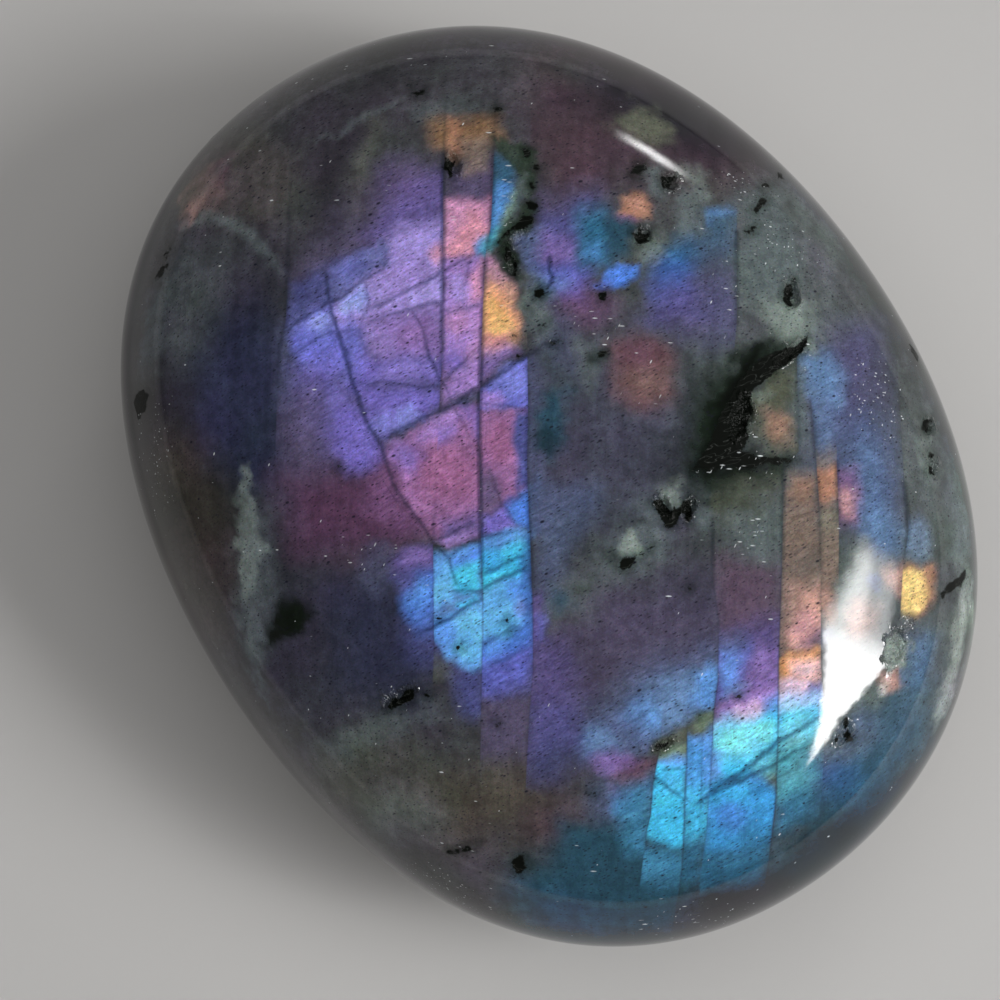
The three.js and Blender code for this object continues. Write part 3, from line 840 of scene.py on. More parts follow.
LOWER_FLASH = [
    ("grey violet", 70, 0.6, (4, 8), [(570, 600), (700, 570), (780, 570), (780, 640), (700, 680),
        (580, 700)]),
    ("wine", 40, 0.5, (8, 8), [(716, 560), (780, 560), (780, 640), (720, 640)]),
    ("dim violet", 34, 0.8, (8, 8), [(714, 634), (780, 616), (780, 660), (716, 664)]),
    ("dusty blue", 30, 0.8, (8, 8), oval(730, 644, 16, 12)),
    ("dusty blue", 60, 0.9, (4, 7), [(600, 706), (640, 680), (668, 666), (714, 650), (718, 700),
        (680, 730), (640, 740), (604, 740)]),
    ("dusty sky", 44, 0.8, (4, 7), [(640, 700), (668, 680), (714, 664), (718, 700), (680, 730),
        (640, 730)]),
    ("sky", 20, 0.8, (4, 7), [(692, 706), (694, 676), (708, 662), (718, 664), (718, 710), (704, 714)]),
    ("sky", 30, 0.6, (4, 4), oval(643, 716, 20, 16, -10)),
    ("dusty blue", 34, 0.8, (4, 4), [(586, 724), (640, 712), (650, 744), (600, 768), (584, 756)]),
    ("dusty sky", 20, 0.6, (4, 4), [(588, 726), (604, 730), (616, 752), (590, 756)]),
    ("dusty blue", 40, 0.7, (4, 4), oval(614, 800, 22, 22)),
    ("sky cyan", 20, 0.5, (4, 4), oval(626, 802, 14, 11)),
    ("mauve", 20, 0.9, (4, 4), [(592, 760), (626, 756), (636, 764), (618, 774), (596, 774)]),
    ("wine", 26, 0.9, (4, 4), [(610, 778), (628, 764), (656, 762), (650, 786), (614, 788)]),
    ("dim violet", 22, 0.6, (4, 4), [(612, 790), (648, 784), (648, 798), (614, 800)]),
    ("olive", 12, 0.9, (4, 7), [(648, 752), (660, 738), (684, 724), (704, 714), (716, 712), (714, 728),
        (690, 742), (664, 752)]),
    ("leaf", 12, 0.4, (6, 7), oval(706, 723, 10, 6, -20)),
    ("dark teal", 40, 1.0, (4, 4), [(560, 826), (650, 818), (640, 920), (570, 900)]),
    ("steel cyan", 34, 0.9, (4, 4), [(622, 790), (652, 780), (650, 850), (632, 850)]),
    ("leaf", 12, 0.6, (5, 5), [(656, 756), (688, 744), (688, 760), (656, 770)]),
    ("sky", 12, 0.95, (5, 5), [(652, 764), (688, 758), (688, 776), (652, 780)]),
    ("cyan", 12, 1.0, (5, 5), [(652, 770), (688, 768), (688, 848), (668, 844), (646, 828)]),
    ("pale cyan", 14, 0.3, (5, 5), oval(672, 784, 12, 10)),
    ("steel cyan", 30, 0.9, (5, 5), [(640, 844), (662, 850), (688, 856), (684, 890), (636, 886)]),
    ("dark teal", 30, 0.7, (5, 5), [(636, 880), (686, 880), (680, 930), (630, 930)]),
    ("sky", 16, 1.0, (6, 7), [(686, 738), (716, 730), (716, 800), (686, 804)]),
    ("periwinkle", 14, 0.4, (7, 7), [(700, 752), (714, 752), (712, 790), (700, 790)]),
    ("sky cyan", 20, 0.6, (6, 7), [(684, 744), (714, 750), (712, 790), (684, 790)]),
    ("cyan", 20, 0.8, (6, 7), [(684, 784), (712, 786), (708, 840), (684, 844)]),
    ("teal", 26, 0.9, (6, 7), [(682, 846), (706, 842), (702, 880), (680, 880)]),
    ("periwinkle", 24, 0.8, (8, 8), [(716, 652), (746, 646), (750, 692), (716, 704)]),
    ("sky", 20, 0.6, (8, 8), oval(729, 668, 11, 18)),
    ("mauve", 24, 0.9, (8, 8), [(748, 660), (758, 650), (780, 648), (780, 700), (756, 704), (746, 690)]),
    ("dusty sky", 14, 0.6, (8, 8), oval(738, 690, 12, 6, -20)),
    ("lilac", 16, 0.9, (8, 8), [(716, 714), (734, 700), (776, 688), (772, 710), (740, 728), (716, 734)]),
    ("cream", 14, 0.6, (8, 8), oval(749, 712, 14, 7, -15)),
    ("sky", 12, 0.8, (8, 8), [(760, 722), (766, 702), (780, 694), (780, 726)]),
    ("cyan", 16, 1.0, (8, 8), [(712, 744), (728, 728), (748, 724), (780, 710), (780, 748), (752, 772),
        (712, 786)]),
    ("bright cyan", 24, 1.0, (8, 8), oval(742, 738, 32, 20, -12)),
    ("periwinkle", 16, 0.6, (8, 8), [(710, 752), (722, 750), (724, 776), (710, 790)]),
    ("turquoise", 14, 0.9, (8, 8), [(752, 768), (780, 750), (780, 768), (760, 776)]),
    ("bright cyan", 12, 0.5, (8, 8), oval(765, 763, 11, 7, -30)),
    ("sky", 14, 1.0, (8, 8), [(710, 800), (722, 790), (760, 772), (764, 784), (740, 806), (722, 814),
        (708, 812)]),
    ("leaf", 14, 0.4, (8, 8), oval(770, 778, 9, 7)),
    ("sky cyan", 22, 1.0, (8, 8), [(706, 784), (760, 776), (778, 790), (776, 836), (736, 856), (702, 856)]),
    ("cyan", 20, 0.5, (8, 8), [(712, 790), (744, 780), (744, 800), (712, 808)]),
    ("blue", 22, 0.6, (8, 8), oval(728, 818, 14, 16, 20)),
    ("teal", 26, 0.8, (8, 8), [(744, 832), (774, 826), (768, 856), (740, 862)]),
    ("teal", 24, 0.3, (8, 8), oval(736, 830, 18, 12)),
    ("teal", 26, 1.0, (8, 8), [(696, 852), (768, 850), (764, 880), (692, 892)]),
    ("tan", 20, 0.7, (9, 9), [(780, 570), (822, 570), (822, 650), (780, 650)]),
    ("salmon", 40, 0.5, (9, 9), oval(800, 622, 18, 34)),
    ("salmon", 16, 0.9, (9, 9), [(788, 646), (792, 624), (806, 600), (822, 580), (824, 640), (806, 648)]),
    ("tan", 14, 0.9, (10, 10), [(818, 556), (838, 560), (836, 622), (820, 626)]),
    ("salmon", 18, 0.4, (10, 10), oval(826, 598, 8, 16)),
    ("slate", 12, 0.7, (9, 10), [(804, 646), (816, 628), (832, 626), (832, 646), (816, 652)]),
    ("amber", 14, 0.85, (9, 9), [(778, 664), (792, 656), (818, 652), (816, 680), (778, 684)]),
    ("pink", 20, 0.3, (9, 9), oval(804, 630, 14, 20)),
    ("cream", 20, 0.7, (9, 9), oval(804, 672, 14, 9)),
    ("cream", 14, 0.9, (9, 9), [(778, 684), (816, 682), (812, 700), (778, 702)]),
    ("periwinkle", 10, 0.5, (9, 9), [(806, 702), (812, 684), (826, 684), (826, 702)]),
    ("cyan", 14, 1.0, (9, 9), [(776, 706), (800, 704), (826, 700), (826, 720), (800, 732), (776, 742)]),
    ("pale sky", 16, 0.9, (9, 9), [(776, 700), (826, 692), (826, 706), (776, 714)]),
    ("turquoise", 20, 1.0, (9, 9), [(776, 740), (800, 726), (824, 712), (824, 742), (800, 760),
        (776, 774)]),
    ("bright cyan", 22, 0.9, (9, 9), oval(798, 729, 24, 13, -24)),
    ("leaf", 14, 0.3, (9, 9), oval(796, 744, 14, 6, -30)),
    ("sea green", 26, 1.0, (9, 9), [(776, 772), (800, 756), (822, 744), (820, 776), (800, 790),
        (776, 800)]),
    ("turquoise", 24, 0.5, (9, 9), oval(794, 790, 14, 12)),
    ("steel cyan", 30, 0.8, (9, 9), [(776, 800), (810, 792), (806, 812), (780, 826)]),
    ("pale fog", 26, 0.5, (9, 11), [(820, 740), (842, 700), (884, 680), (872, 730), (830, 770)]),
    # painted reflection: a pale streak of the window's reflection beside the pit
    ("white", 5, 0.8, (11, 11), [(880, 690), (883, 674), (893, 662), (896, 668), (889, 680), (884, 692)]),
    ("deep blue", 34, 0.5, (9, 11), oval(836, 774, 20, 18)),
    ("dusty blue", 30, 0.9, (9, 11), oval(858, 734, 14, 24, 24)),
    ("teal", 50, 0.5, (9, 12), [(810, 800), (850, 750), (900, 680), (930, 640), (930, 740), (860, 810)]),
    ("salmon", 14, 0.6, (11, 12), [(878, 672), (900, 662), (902, 686), (886, 690)]),
    ("dusty sky", 30, 0.5, (12, 12), oval(916, 664, 13, 26, 10)),
    ("fog", 24, 0.45, (10, 11), oval(856, 738, 14, 20, 24)),
]
FLASHES = LAVENDER_FLASH + ROSE_FLASH + BLUE_FLASH + UPPER_FLASH + RIGHT_FLASH + LOWER_FLASH

# Milky and dark clouds in the stone, over the flashes.
CLOUDS = [
    ("moss", 8, 0.9, ALL, [(489, 140), (527, 142), (534, 150), (530, 168), (536, 190), (526, 206),
        (514, 200), (516, 180), (508, 164), (498, 156)]),
    ("fog", 14, 0.5, ALL, [(512, 180), (520, 170), (526, 190), (524, 204), (514, 202)]),
    ("moss", 10, 0.9, ALL, [(538, 200), (536, 218), (520, 230), (500, 244), (494, 242), (504, 228),
        (520, 212)]),
    ("dark moss", 10, 0.9, ALL, [(498, 242), (512, 240), (520, 256), (520, 280), (510, 278), (500, 264)]),
    ("dull fog", 9, 0.7, ALL, [(512, 270), (520, 264), (546, 287), (548, 298), (536, 298), (516, 282)]),
    ("dark moss", 10, 0.8, ALL, oval(540, 293, 9, 6)),
    ("pale fog", 14, 0.5, ALL, oval(526, 301, 6, 8, -20)),
    ("moss", 20, 0.6, ALL, [(522, 298), (546, 296), (550, 316), (534, 320)]),
    ("fog", 22, 0.7, ALL, [(528, 304), (552, 300), (560, 334), (540, 340), (526, 324)]),
    ("moss", 24, 0.5, (4, 4), [(542, 350), (560, 346), (570, 380), (560, 414), (546, 400)]),
    ("dark teal", 24, 0.9, (4, 4), [(540, 396), (562, 392), (566, 436), (550, 456), (536, 446)]),
    ("night", 18, 0.6, (4, 4), oval(547, 440, 9, 10)),
    ("fog", 18, 0.6, (4, 4), [(576, 340), (596, 338), (602, 370), (590, 396), (576, 380)]),
    ("dark moss", 20, 0.5, (4, 4), oval(596, 360, 14, 9, -30)),
    ("sage", 22, 0.8, ALL, [(612, 122), (632, 108), (656, 114), (672, 140), (650, 144), (620, 136)]),
    ("fog", 18, 0.8, ALL, [(644, 170), (662, 164), (666, 194), (650, 192)]),
    ("pale fog", 20, 0.5, ALL, [(682, 166), (704, 170), (712, 200), (696, 206)]),
    ("fog", 26, 0.8, ALL, [(680, 190), (704, 194), (704, 232), (684, 236)]),
    ("pale fog", 22, 0.6, ALL, [(640, 240), (660, 232), (664, 250), (652, 266), (640, 258)]),
    ("fog", 34, 0.8, ALL, [(740, 196), (776, 190), (800, 260), (790, 310), (742, 300), (736, 240)]),
    ("pale fog", 24, 0.9, ALL, [(768, 304), (794, 294), (816, 318), (814, 350), (790, 348), (770, 334)]),
    ("dark moss", 26, 0.9, ALL, [(776, 338), (744, 350), (716, 374), (698, 408), (690, 446), (700, 464),
        (740, 430), (752, 384), (800, 346)]),
    ("night", 18, 1.0, ALL, [(776, 344), (762, 348), (736, 362), (720, 382), (706, 406), (698, 438),
        (706, 458), (722, 434), (738, 398), (748, 380), (764, 364)]),
    ("dark moss", 36, 0.8, ALL, [(676, 420), (692, 372), (712, 380), (712, 470), (690, 500), (664, 476)]),
    ("dark moss", 24, 0.9, ALL, [(684, 464), (740, 468), (790, 460), (776, 482), (740, 492), (700, 496)]),
    ("night", 20, 0.8, ALL, [(690, 462), (716, 440), (744, 444), (770, 462), (740, 480), (700, 482)]),
    ("dark moss", 30, 0.75, ALL, oval(736, 498, 30, 12, -6)),
    ("olive", 14, 0.9, (5, 8), [(756, 394), (774, 378), (797, 362), (798, 406), (776, 408), (758, 408)]),
    ("pale fog", 12, 0.5, (5, 8), oval(764, 396, 7, 8)),
    ("olive", 34, 0.6, (7, 8), [(716, 492), (780, 476), (780, 504), (730, 524), (706, 514)]),
    ("fog", 34, 0.7, (7, 8), [(730, 512), (780, 500), (780, 562), (748, 556), (728, 540)]),
    ("pale fog", 16, 0.9, ALL, [(662, 486), (680, 484), (682, 500), (672, 508), (664, 500)]),
    ("fog", 18, 0.9, ALL, [(698, 508), (708, 504), (712, 516), (706, 530), (698, 524)]),
    ("fog", 26, 0.6, ALL, [(642, 496), (656, 490), (660, 520), (646, 534), (638, 520)]),
    ("fog", 30, 0.7, (4, 6), [(604, 540), (640, 520), (668, 530), (664, 560), (610, 582)]),
    ("pale fog", 8, 0.9, (4, 4), [(619, 548), (627, 532), (636, 528), (642, 544), (634, 554), (622, 556)]),
    ("fog", 36, 0.6, (4, 4), [(546, 602), (570, 572), (600, 560), (606, 588), (580, 616), (552, 622)]),
    ("moss", 18, 0.7, (4, 4), oval(582, 588, 10, 6, -20)),
    ("dark moss", 18, 0.7, (4, 4), oval(610, 554, 9, 8)),
    ("dark teal", 18, 0.7, (4, 4), oval(558, 602, 10, 9)),
    ("night", 16, 0.7, (4, 4), oval(639, 519, 7, 6)),
    ("ink", 40, 0.6, (4, 7), [(650, 440), (690, 420), (690, 480), (656, 490), (630, 476)]),
    # the pale spindle at the left and the dark blob beside it
    ("pale fog", 7, 0.45, ALL, [(242, 464), (248, 470), (256, 500), (262, 550), (258, 590), (250, 600),
        (241, 586), (237, 540), (238, 490)]),
    ("fog", 30, 0.35, ALL, [(244, 480), (266, 520), (276, 590), (270, 660), (244, 656), (240, 560)]),
    ("fog", 14, 0.4, ALL, [(240, 580), (248, 600), (258, 650), (264, 700), (254, 680), (244, 640)]),
    ("night", 18, 1.0, ALL, [(260, 644), (266, 618), (284, 602), (304, 604), (318, 614), (306, 628),
        (284, 642), (268, 650)]),
    ("soot", 18, 0.7, ALL, [(320, 738), (340, 726), (358, 720), (352, 730), (330, 742)]),
    ("fog", 26, 0.35, ALL, [(322, 744), (380, 716), (440, 700), (444, 712), (390, 736), (340, 760)]),
    ("fog", 20, 0.3, ALL, [(400, 108), (440, 96), (480, 100), (470, 116), (420, 120)]),
    # the fold and the streaks at the upper left; the first two marks are painted shade beside the pale
    # streaks of painted reflection in the flashes
    ("soot", 16, 0.6, ALL, [(230, 206), (262, 220), (292, 258), (280, 258), (256, 234)]),
    ("soot", 14, 0.4, ALL, [(312, 146), (344, 132), (380, 116), (390, 120), (350, 140), (318, 156)]),
    ("wine", 18, 0.5, ALL, [(183, 216), (190, 198), (214, 168), (230, 160), (226, 182), (206, 204)]),
    ("tan", 30, 0.35, ALL, oval(198, 194, 14, 26, 38)),
    ("salmon", 12, 0.2, ALL, oval(193, 206, 8, 6, -50)),
    ("fog", 26, 0.3, ALL, oval(152, 330, 12, 60, 12)),
    ("soot", 18, 0.5, ALL, [(146, 280), (160, 250), (176, 236), (172, 256), (156, 286)]),
    ("fog", 18, 0.35, ALL, [(764, 852), (804, 826), (806, 832), (770, 858)]),
    ("pale fog", 18, 0.4, ALL, [(912, 436), (928, 434), (932, 452), (934, 480), (922, 476)]),
    ("fog", 20, 0.9, ALL, oval(799, 404, 10, 34)),
    # painted highlight: the floor of the pit at the bright edge, painted pale where the window's reflection
    # falls
    ("pale fog", 6, 1.0, (11, 12), [(882, 660), (888, 645), (898, 635), (908, 631), (911, 642),
        (903, 657), (892, 667)]),
    # painted shade: the rim darkened where it leans over
    ("night", 40, 0.5, ALL, oval(824, 852, 60, 20, -42)),
    ("night", 40, 0.4, ALL, oval(735, 888, 40, 16, -12)),
    ("night", 40, 0.4, ALL, oval(438, 886, 50, 16, 34)),
    ("night", 40, 0.45, ALL, oval(160, 516, 18, 50, -15)),
    ("night", 24, 0.4, ALL, oval(134, 404, 10, 30)),
    ("night", 40, 0.45, ALL, oval(207, 508, 40, 34, 10)),
    ("ink", 40, 0.4, (4, 7), oval(690, 588, 26, 24)),
    ("soot", 30, 0.45, ALL, oval(588, 106, 28, 14, 8)),
    ("dusty blue", 18, 0.5, (3, 4), [(520, 240), (540, 240), (546, 288), (528, 290)]),
    ("dusty sky", 20, 0.35, (4, 4), oval(557, 286, 18, 11)),
]

# Dim flashes and clouds on the underside, drawn where they would show if the stone were clear.
BELLY_FLASH = [
    ("grey violet", 90, 0.8, ALL, oval(420, 420, 120, 180)),
    ("dusk blue", 70, 0.8, (1, 4), oval(470, 520, 90, 120)),
    ("blue violet", 50, 0.6, (2, 3), oval(480, 600, 50, 70)),
    ("plum", 60, 0.5, (1, 1), oval(360, 420, 60, 60)),
    ("dusk blue", 60, 0.7, (8, 10), oval(800, 560, 70, 130)),
    ("moss", 60, 0.6, ALL, oval(660, 330, 80, 50)),
    ("fog", 80, 0.5, ALL, oval(760, 760, 90, 70)),
    ("dull fog", 90, 0.6, ALL, oval(300, 240, 90, 70)),
]

# Where fine bright flakes glitter, as painted glints: softness, how many, outline.
GLITTER = [
    (24, 1.0, oval(738, 184, 24, 14)),
    (30, 0.6, oval(786, 250, 30, 24, 30)),
    (24, 1.0, oval(756, 540, 20, 30, -20)),
    (26, 0.5, oval(650, 384, 26, 20)),
    (24, 1.0, oval(446, 888, 44, 12, 32)),
    (24, 0.7, oval(700, 914, 60, 14, -8)),
    (30, 0.5, oval(158, 450, 16, 60)),
    (20, 0.6, oval(725, 300, 14, 50)),
    (26, 0.8, oval(872, 400, 26, 44, -15)),
    (14, 0.8, oval(806, 366, 9, 24)),
    (12, 0.9, oval(736, 466, 44, 10, -6)),
    (26, 0.7, oval(366, 552, 34, 20, -20)),
    (30, 0.6, oval(600, 316, 40, 26)),
    (16, 0.5, oval(508, 214, 10, 60)),
]
BACKGROUND_GLITTER = 0.025  # how many elsewhere


def lay(painting, places, owner, marks):
    """Lays marks over a painting, in the strips that they belong to."""
    for colour, softness, amount, strips, corners in marks:
        depth = inside(places, corners, softness / 2 + EDGE_MARGIN)
        cover = amount * soft_step(depth, -softness / 2, softness / 2)
        cover = np.where((owner >= strips[0]) & (owner <= strips[1]), cover, 0)
        painting += (linear(SEEN[colour]) - painting) * cover[:, None]


def light_on(normals):
    """How much light falls on the surface, next to a white one that keeps its brightness."""
    facing_up = 0.5 + 0.5 * normals[:, 2]
    window = np.clip(normals @ WINDOW_DIRECTION, 0, 1)
    overhead = OVERHEAD_SHARE * facing_up ** OVERHEAD_FALLOFF
    around = SKY_SHARE * facing_up + overhead + FLOOR_SHARE * (1 - facing_up)
    return around + WINDOW_SHARE * window


def mirrored_in(normals):
    """What the polish shows the camera of the room, over every colour."""
    facing = np.clip(normals @ CAMERA_BACK, 0, 1)
    share = POLISH_AT_RIGHT_ANGLES + (1 - POLISH_AT_RIGHT_ANGLES) * (1 - facing) ** 5
    toward = 2 * facing[:, None] * normals - CAMERA_BACK
    room = HORIZON + (ZENITH - HORIZON) * soft_step(toward[:, 2], 0, CEILING_RISE)
    room *= DIM_SIDE + (WINDOW_SIDE - DIM_SIDE) * soft_step(toward @ BRIGHT_SKY, *SIDE_SPREAD)
    return share * np.where(toward[:, 2] > 0, room, FLOOR_BRIGHTNESS)


def own_colour(colour, flash, light, veil):
    """What a colour has to be without the light and the mirrored room, to look as it does in them."""
    brightness = light * (1 - GLOW_SHARE * flash) + GLOW_STRENGTH * flash
    # painted shade: less of the colour where the polish mirrors the room towards the main camera, and more of
    # it where less light falls
    bare = np.maximum(colour - veil[:, None], colour * LEAST_LEFT)
    return np.clip(bare / brightness[:, None], DARKEST, PALEST)


def cloudiness(points):
    """How the stone's own colour varies: brightness, and a drift between green and violet."""
    x, y, z = points @ SHEET_RIGHT, points @ SHEET_AHEAD, points[:, 2]
    bands = np.stack([(x + LAMELLA_LEAN * z) * 1.1, y * 0.09, z * 0], axis=1)
    broad, fine = 0.20 * drift(points, 0.3, 4), 0.12 * drift(points, 1.3, 3)
    brightness = np.exp(broad + fine + 0.10 * drift(bands, 1.0, 3))
    tint = drift(points + 90, 0.33, 3)[:, None] * [0.05, -0.04, 0.07]
    return brightness[:, None] * (1 + tint)


def colours_of_strips(points, normals, seen_at, crown, owners):
    """The colour and the glow of the strips, once for the even ones and once for the odd ones.

    Each of the two runs on past the line between two strips, so that the finish can change from one
    to the other at a sharp line.
    """
    blurred = seen_at + wander(points, 0.5, 5.0) + wander(points, 1.9, 2.2)
    torn = blurred + wander(points, 1.4, 5.5)
    clouds = cloudiness(points)
    light = UNDERSIDE_LIGHT + (np.maximum(light_on(normals), LEAST_LIGHT) - UNDERSIDE_LIGHT) * crown
    veil = crown * np.minimum(mirrored_in(normals), MOST_VEIL)
    shimmer = np.exp(0.13 * drift(points + 7, 0.9, 3))[:, None]
    painted = {}
    for name, owner in owners.items():
        ground = np.tile(linear(SEEN["smoke"]), (len(points), 1))
        lay(ground, blurred, owner, GROUND)
        tone = clouds * np.array(STRIP_TONES)[owner.clip(*ALL)][:, None]
        belly = ground * tone
        # painted reflections along the right rim
        lay(ground, blurred, owner, RIM_REFLECTIONS)
        ground *= tone
        colour = ground.copy()
        lay(colour, blurred, owner, FLASHES)
        flash = soft_step(np.abs(colour - ground).max(axis=1), 0.0, WHOLE_FLASH)
        colour *= 1 + (shimmer - 1) * flash[:, None]
        lay(colour, torn, owner, CLOUDS)
        lay(belly, blurred, owner, BELLY_FLASH)
        colour = belly + (colour - belly) * crown[:, None]
        flash *= crown
        painted["colour_" + name] = own_colour(colour, flash, light, veil)
        painted["glow_" + name] = flash
    return painted


def cracks_by_name(points, seen_at, crown):
    """How far each family of cracks is, and how dark the nearest one is."""
    shaken = seen_at + wander(points, 0.6, 1.5) + wander(points, 2.2, 0.8)
    painted = {}
    for name, cracks, across in (("rising", RISING_CRACKS, 1), ("steep", STEEP_CRACKS, 0)):
        painted[name], shade = cracks_at(shaken, cracks, across)
        painted[name + "_shade"] = shade * crown
    return painted


def grain_depth(seen_at, crown):
    """How far inside a dark grain each place is."""
    depth = np.full(len(seen_at), -float(GRAIN_REACH))
    for corners in GRAINS:
        depth = np.maximum(depth, inside(seen_at, corners, GRAIN_REACH))
    return np.where(crown > 0.5, depth, -GRAIN_REACH)


def glitter_at(seen_at, crown):
    """How many of the fine flakes show."""
    glitter = np.full(len(seen_at), BACKGROUND_GLITTER)
    for softness, amount, corners in GLITTER:
        depth = inside(seen_at, corners, softness)
        glitter = np.maximum(glitter, amount * soft_step(depth, -softness / 2, softness / 2))
    return BACKGROUND_GLITTER + (glitter - BACKGROUND_GLITTER) * crown


def paint(points, normals):
    """All that is painted on the stone, by name. The marks fade out where it turns to its underside."""
    seen_at = on_sheet(points)
    crown = soft_step(normals @ CAMERA_BACK, *CROWN_EDGE)
    strip, beside, gap, darkness = lamellae_at(seen_at)
    even = strip % 2 == 0
    owners = {"even": np.where(even, strip, beside), "odd": np.where(even, beside, strip)}
    return {
        "strip_side": np.where(even, gap, -gap),
        "lamella_shade": darkness * (0.3 + 0.7 * crown),
        "lamella_band": 1.6 * darkness * crown * soft_step(-seen_at[:, 1], -BAND_GONE, -BAND_WHOLE),
        **colours_of_strips(points, normals, seen_at, crown, owners),
        **cracks_by_name(points, seen_at, crown),
        "grain": grain_depth(seen_at, crown),
        "glitter": glitter_at(seen_at, crown),
    }


def write_attributes(mesh, painted):
    for name, values in painted.items():
        if values.ndim == 2:
            layer = mesh.attributes.new(name, "FLOAT_COLOR", "POINT")
            with_alpha = np.ones((len(values), 4), np.float32)
            with_alpha[:, :3] = values
            layer.data.foreach_set("color", with_alpha.ravel())
        else:
            layer = mesh.attributes.new(name, "FLOAT", "POINT")
            layer.data.foreach_set("value", values.astype(np.float32))


def fit_box(points, low, high):
    """Metres, in the box of the solid: the faceted solid is a hair smaller than the true form."""
    size = points.max(axis=0) - points.min(axis=0)
    scaled = points * (np.array(high - low) / size).min()
    middle = (scaled.max(axis=0) + scaled.min(axis=0)) / 2
    return scaled - middle + np.array(low + high) / 2


def add_object(name, mesh_maker, material):
    mesh = bpy.data.meshes.new(name)
    mesh_maker.to_mesh(mesh)
    mesh_maker.free()
    mesh.materials.append(material)
    made = bpy.data.objects.new(name, mesh)
    bpy.context.scene.collection.objects.link(made)
    return made


def polished_stone():
    mesh_maker = pebble_mesh()
    directions = positions(mesh_maker)
    smooth = form(directions)
    normals = form_normals(directions)
    points, pitted = sink_pits(smooth, normals)
    painted = paint(smooth, normals)
    painted["pitted"] = pitted
    place_vertices(mesh_maker, fit_box(points, *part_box("stone")))
    stone = add_object("polished_stone", mesh_maker, labradorite())
    stone.data.shade_smooth()
    write_attributes(stone.data, painted)
    return stone


# Finishes

class Graph:
    """Fills a node tree. Each method gives back the socket, or the node, that it makes."""

    def __init__(self, tree):
        self.tree = tree
        self.tree.nodes.clear()

    def node(self, kind, inputs=None, **settings):
        made = self.tree.nodes.new(kind)
        for setting, value in settings.items():
            setattr(made, setting, value)
        for socket, value in (inputs or {}).items():
            self.feed(made.inputs[socket], value)
        return made

    def feed(self, socket, value):
        if isinstance(value, bpy.types.NodeSocket):
            self.tree.links.new(value, socket)
        else:
            socket.default_value = value

    def math(self, operation, *values):
        made = self.node("ShaderNodeMath", operation=operation)
        for socket, value in zip(made.inputs, values):
            self.feed(socket, value)
        return made.outputs[0]

    def mix(self, amount, below, above, how="MIX"):
        inputs = {"Factor": amount, "A": below, "B": above}
        return self.node("ShaderNodeMix", inputs, data_type="RGBA", blend_type=how).outputs["Result"]

    def times(self, colour, tint):
        return self.mix(1.0, colour, tint, "MULTIPLY")

    def attribute(self, name, colour=False):
        made = self.node("ShaderNodeAttribute", attribute_name=name)
        return made.outputs["Color" if colour else "Fac"]

    def placed(self, turn=0.0, scale=(1, 1, 1), shift=(0, 0, 0)):
        """Places on the stone in millimetres, turned about Z by an angle and then scaled."""
        corner = self.node("ShaderNodeTexCoord").outputs["Object"]
        size = (1 / MILLIMETRE,) * 3
        turned = self.node("ShaderNodeMapping", {"Vector": corner, "Rotation": (0, 0, turn), "Scale": size})
        place = turned.outputs[0]
        return self.node("ShaderNodeMapping", {"Vector": place, "Scale": scale, "Location": shift}).outputs[0]

    def in_lamellae(self, across, along):
        """Places across and along the lamellae."""
        x, y, z = self.split(self.placed(LAMELLA_TURN), "XYZ")
        lean = self.math("MULTIPLY_ADD", z, LAMELLA_LEAN, x)
        scaled = {"X": self.math("MULTIPLY", lean, across), "Y": self.math("MULTIPLY", y, along)}
        return self.node("ShaderNodeCombineXYZ", scaled).outputs[0]

    def noise(self, place, scale, detail=2.0, roughness=0.5, twist=0.0, dimensions="3D", output="Fac"):
        inputs = {"Vector": place, "Scale": scale, "Detail": detail, "Roughness": roughness}
        inputs["Distortion"] = twist
        return self.node("ShaderNodeTexNoise", inputs, noise_dimensions=dimensions).outputs[output]

    def ramp(self, value, low, high, bottom=0.0, top=1.0):
        inputs = {"Value": value, "From Min": low, "From Max": high, "To Min": bottom, "To Max": top}
        return self.node("ShaderNodeMapRange", inputs, interpolation_type="SMOOTHSTEP").outputs["Result"]

    def split(self, value, kind="Color"):
        socket = "Vector" if kind == "XYZ" else "Color"
        return self.node("ShaderNodeSeparate" + kind, {socket: value}).outputs[:3]

    def line(self, distance, width, softness):
        """1 on a line and 0 away from it, from a signed distance."""
        return self.ramp(self.math("ABSOLUTE", distance), width, width + softness, 1.0, 0.0)

    def specks(self, turn, scale, stretch, radius, share):
        """Small grains: one to a cell, of which a share show."""
        place = self.placed(turn, (1 / stretch, 1, 1))
        cell = self.node("ShaderNodeTexVoronoi", {"Vector": place, "Scale": scale})
        chance, size, _ = self.split(cell.outputs["Color"])
        reach = self.math("MULTIPLY_ADD", size, radius, radius * 0.4)
        speck = self.ramp(self.math("DIVIDE", cell.outputs["Distance"], reach), 0.5, 1.2, 1.0, 0.0)
        return self.math("MULTIPLY", speck, self.math("LESS_THAN", chance, share))


def new_finish(name):
    material = bpy.data.materials.new(name)
    material.use_nodes = True
    return material, Graph(material.node_tree)


# Colours and tints of the finish, as amounts of light.
LINE_INK = (0.01, 0.012, 0.02, 1)
CREVICE_TINT = (0.30, 0.32, 0.42, 1)
BAND_TINT = (0.42, 0.47, 0.50, 1)
CRACK_INK = (0.04, 0.045, 0.06, 1)
NEEDLE_BLACK = (0.012, 0.012, 0.022, 1)
SEAM_TINT = (0.32, 0.40, 0.34, 1)
GRAIN_BLACK = (0.002, 0.003, 0.002, 1)
VEIN_GLINT_GREY = (0.12, 0.13, 0.12, 1)
GLINT_WHITE = (0.78, 0.82, 0.84, 1)
WHITE = (1, 1, 1, 1)
DOUBLE = (2, 2, 2, 1)
UNLIT = (0, 0, 0, 1)

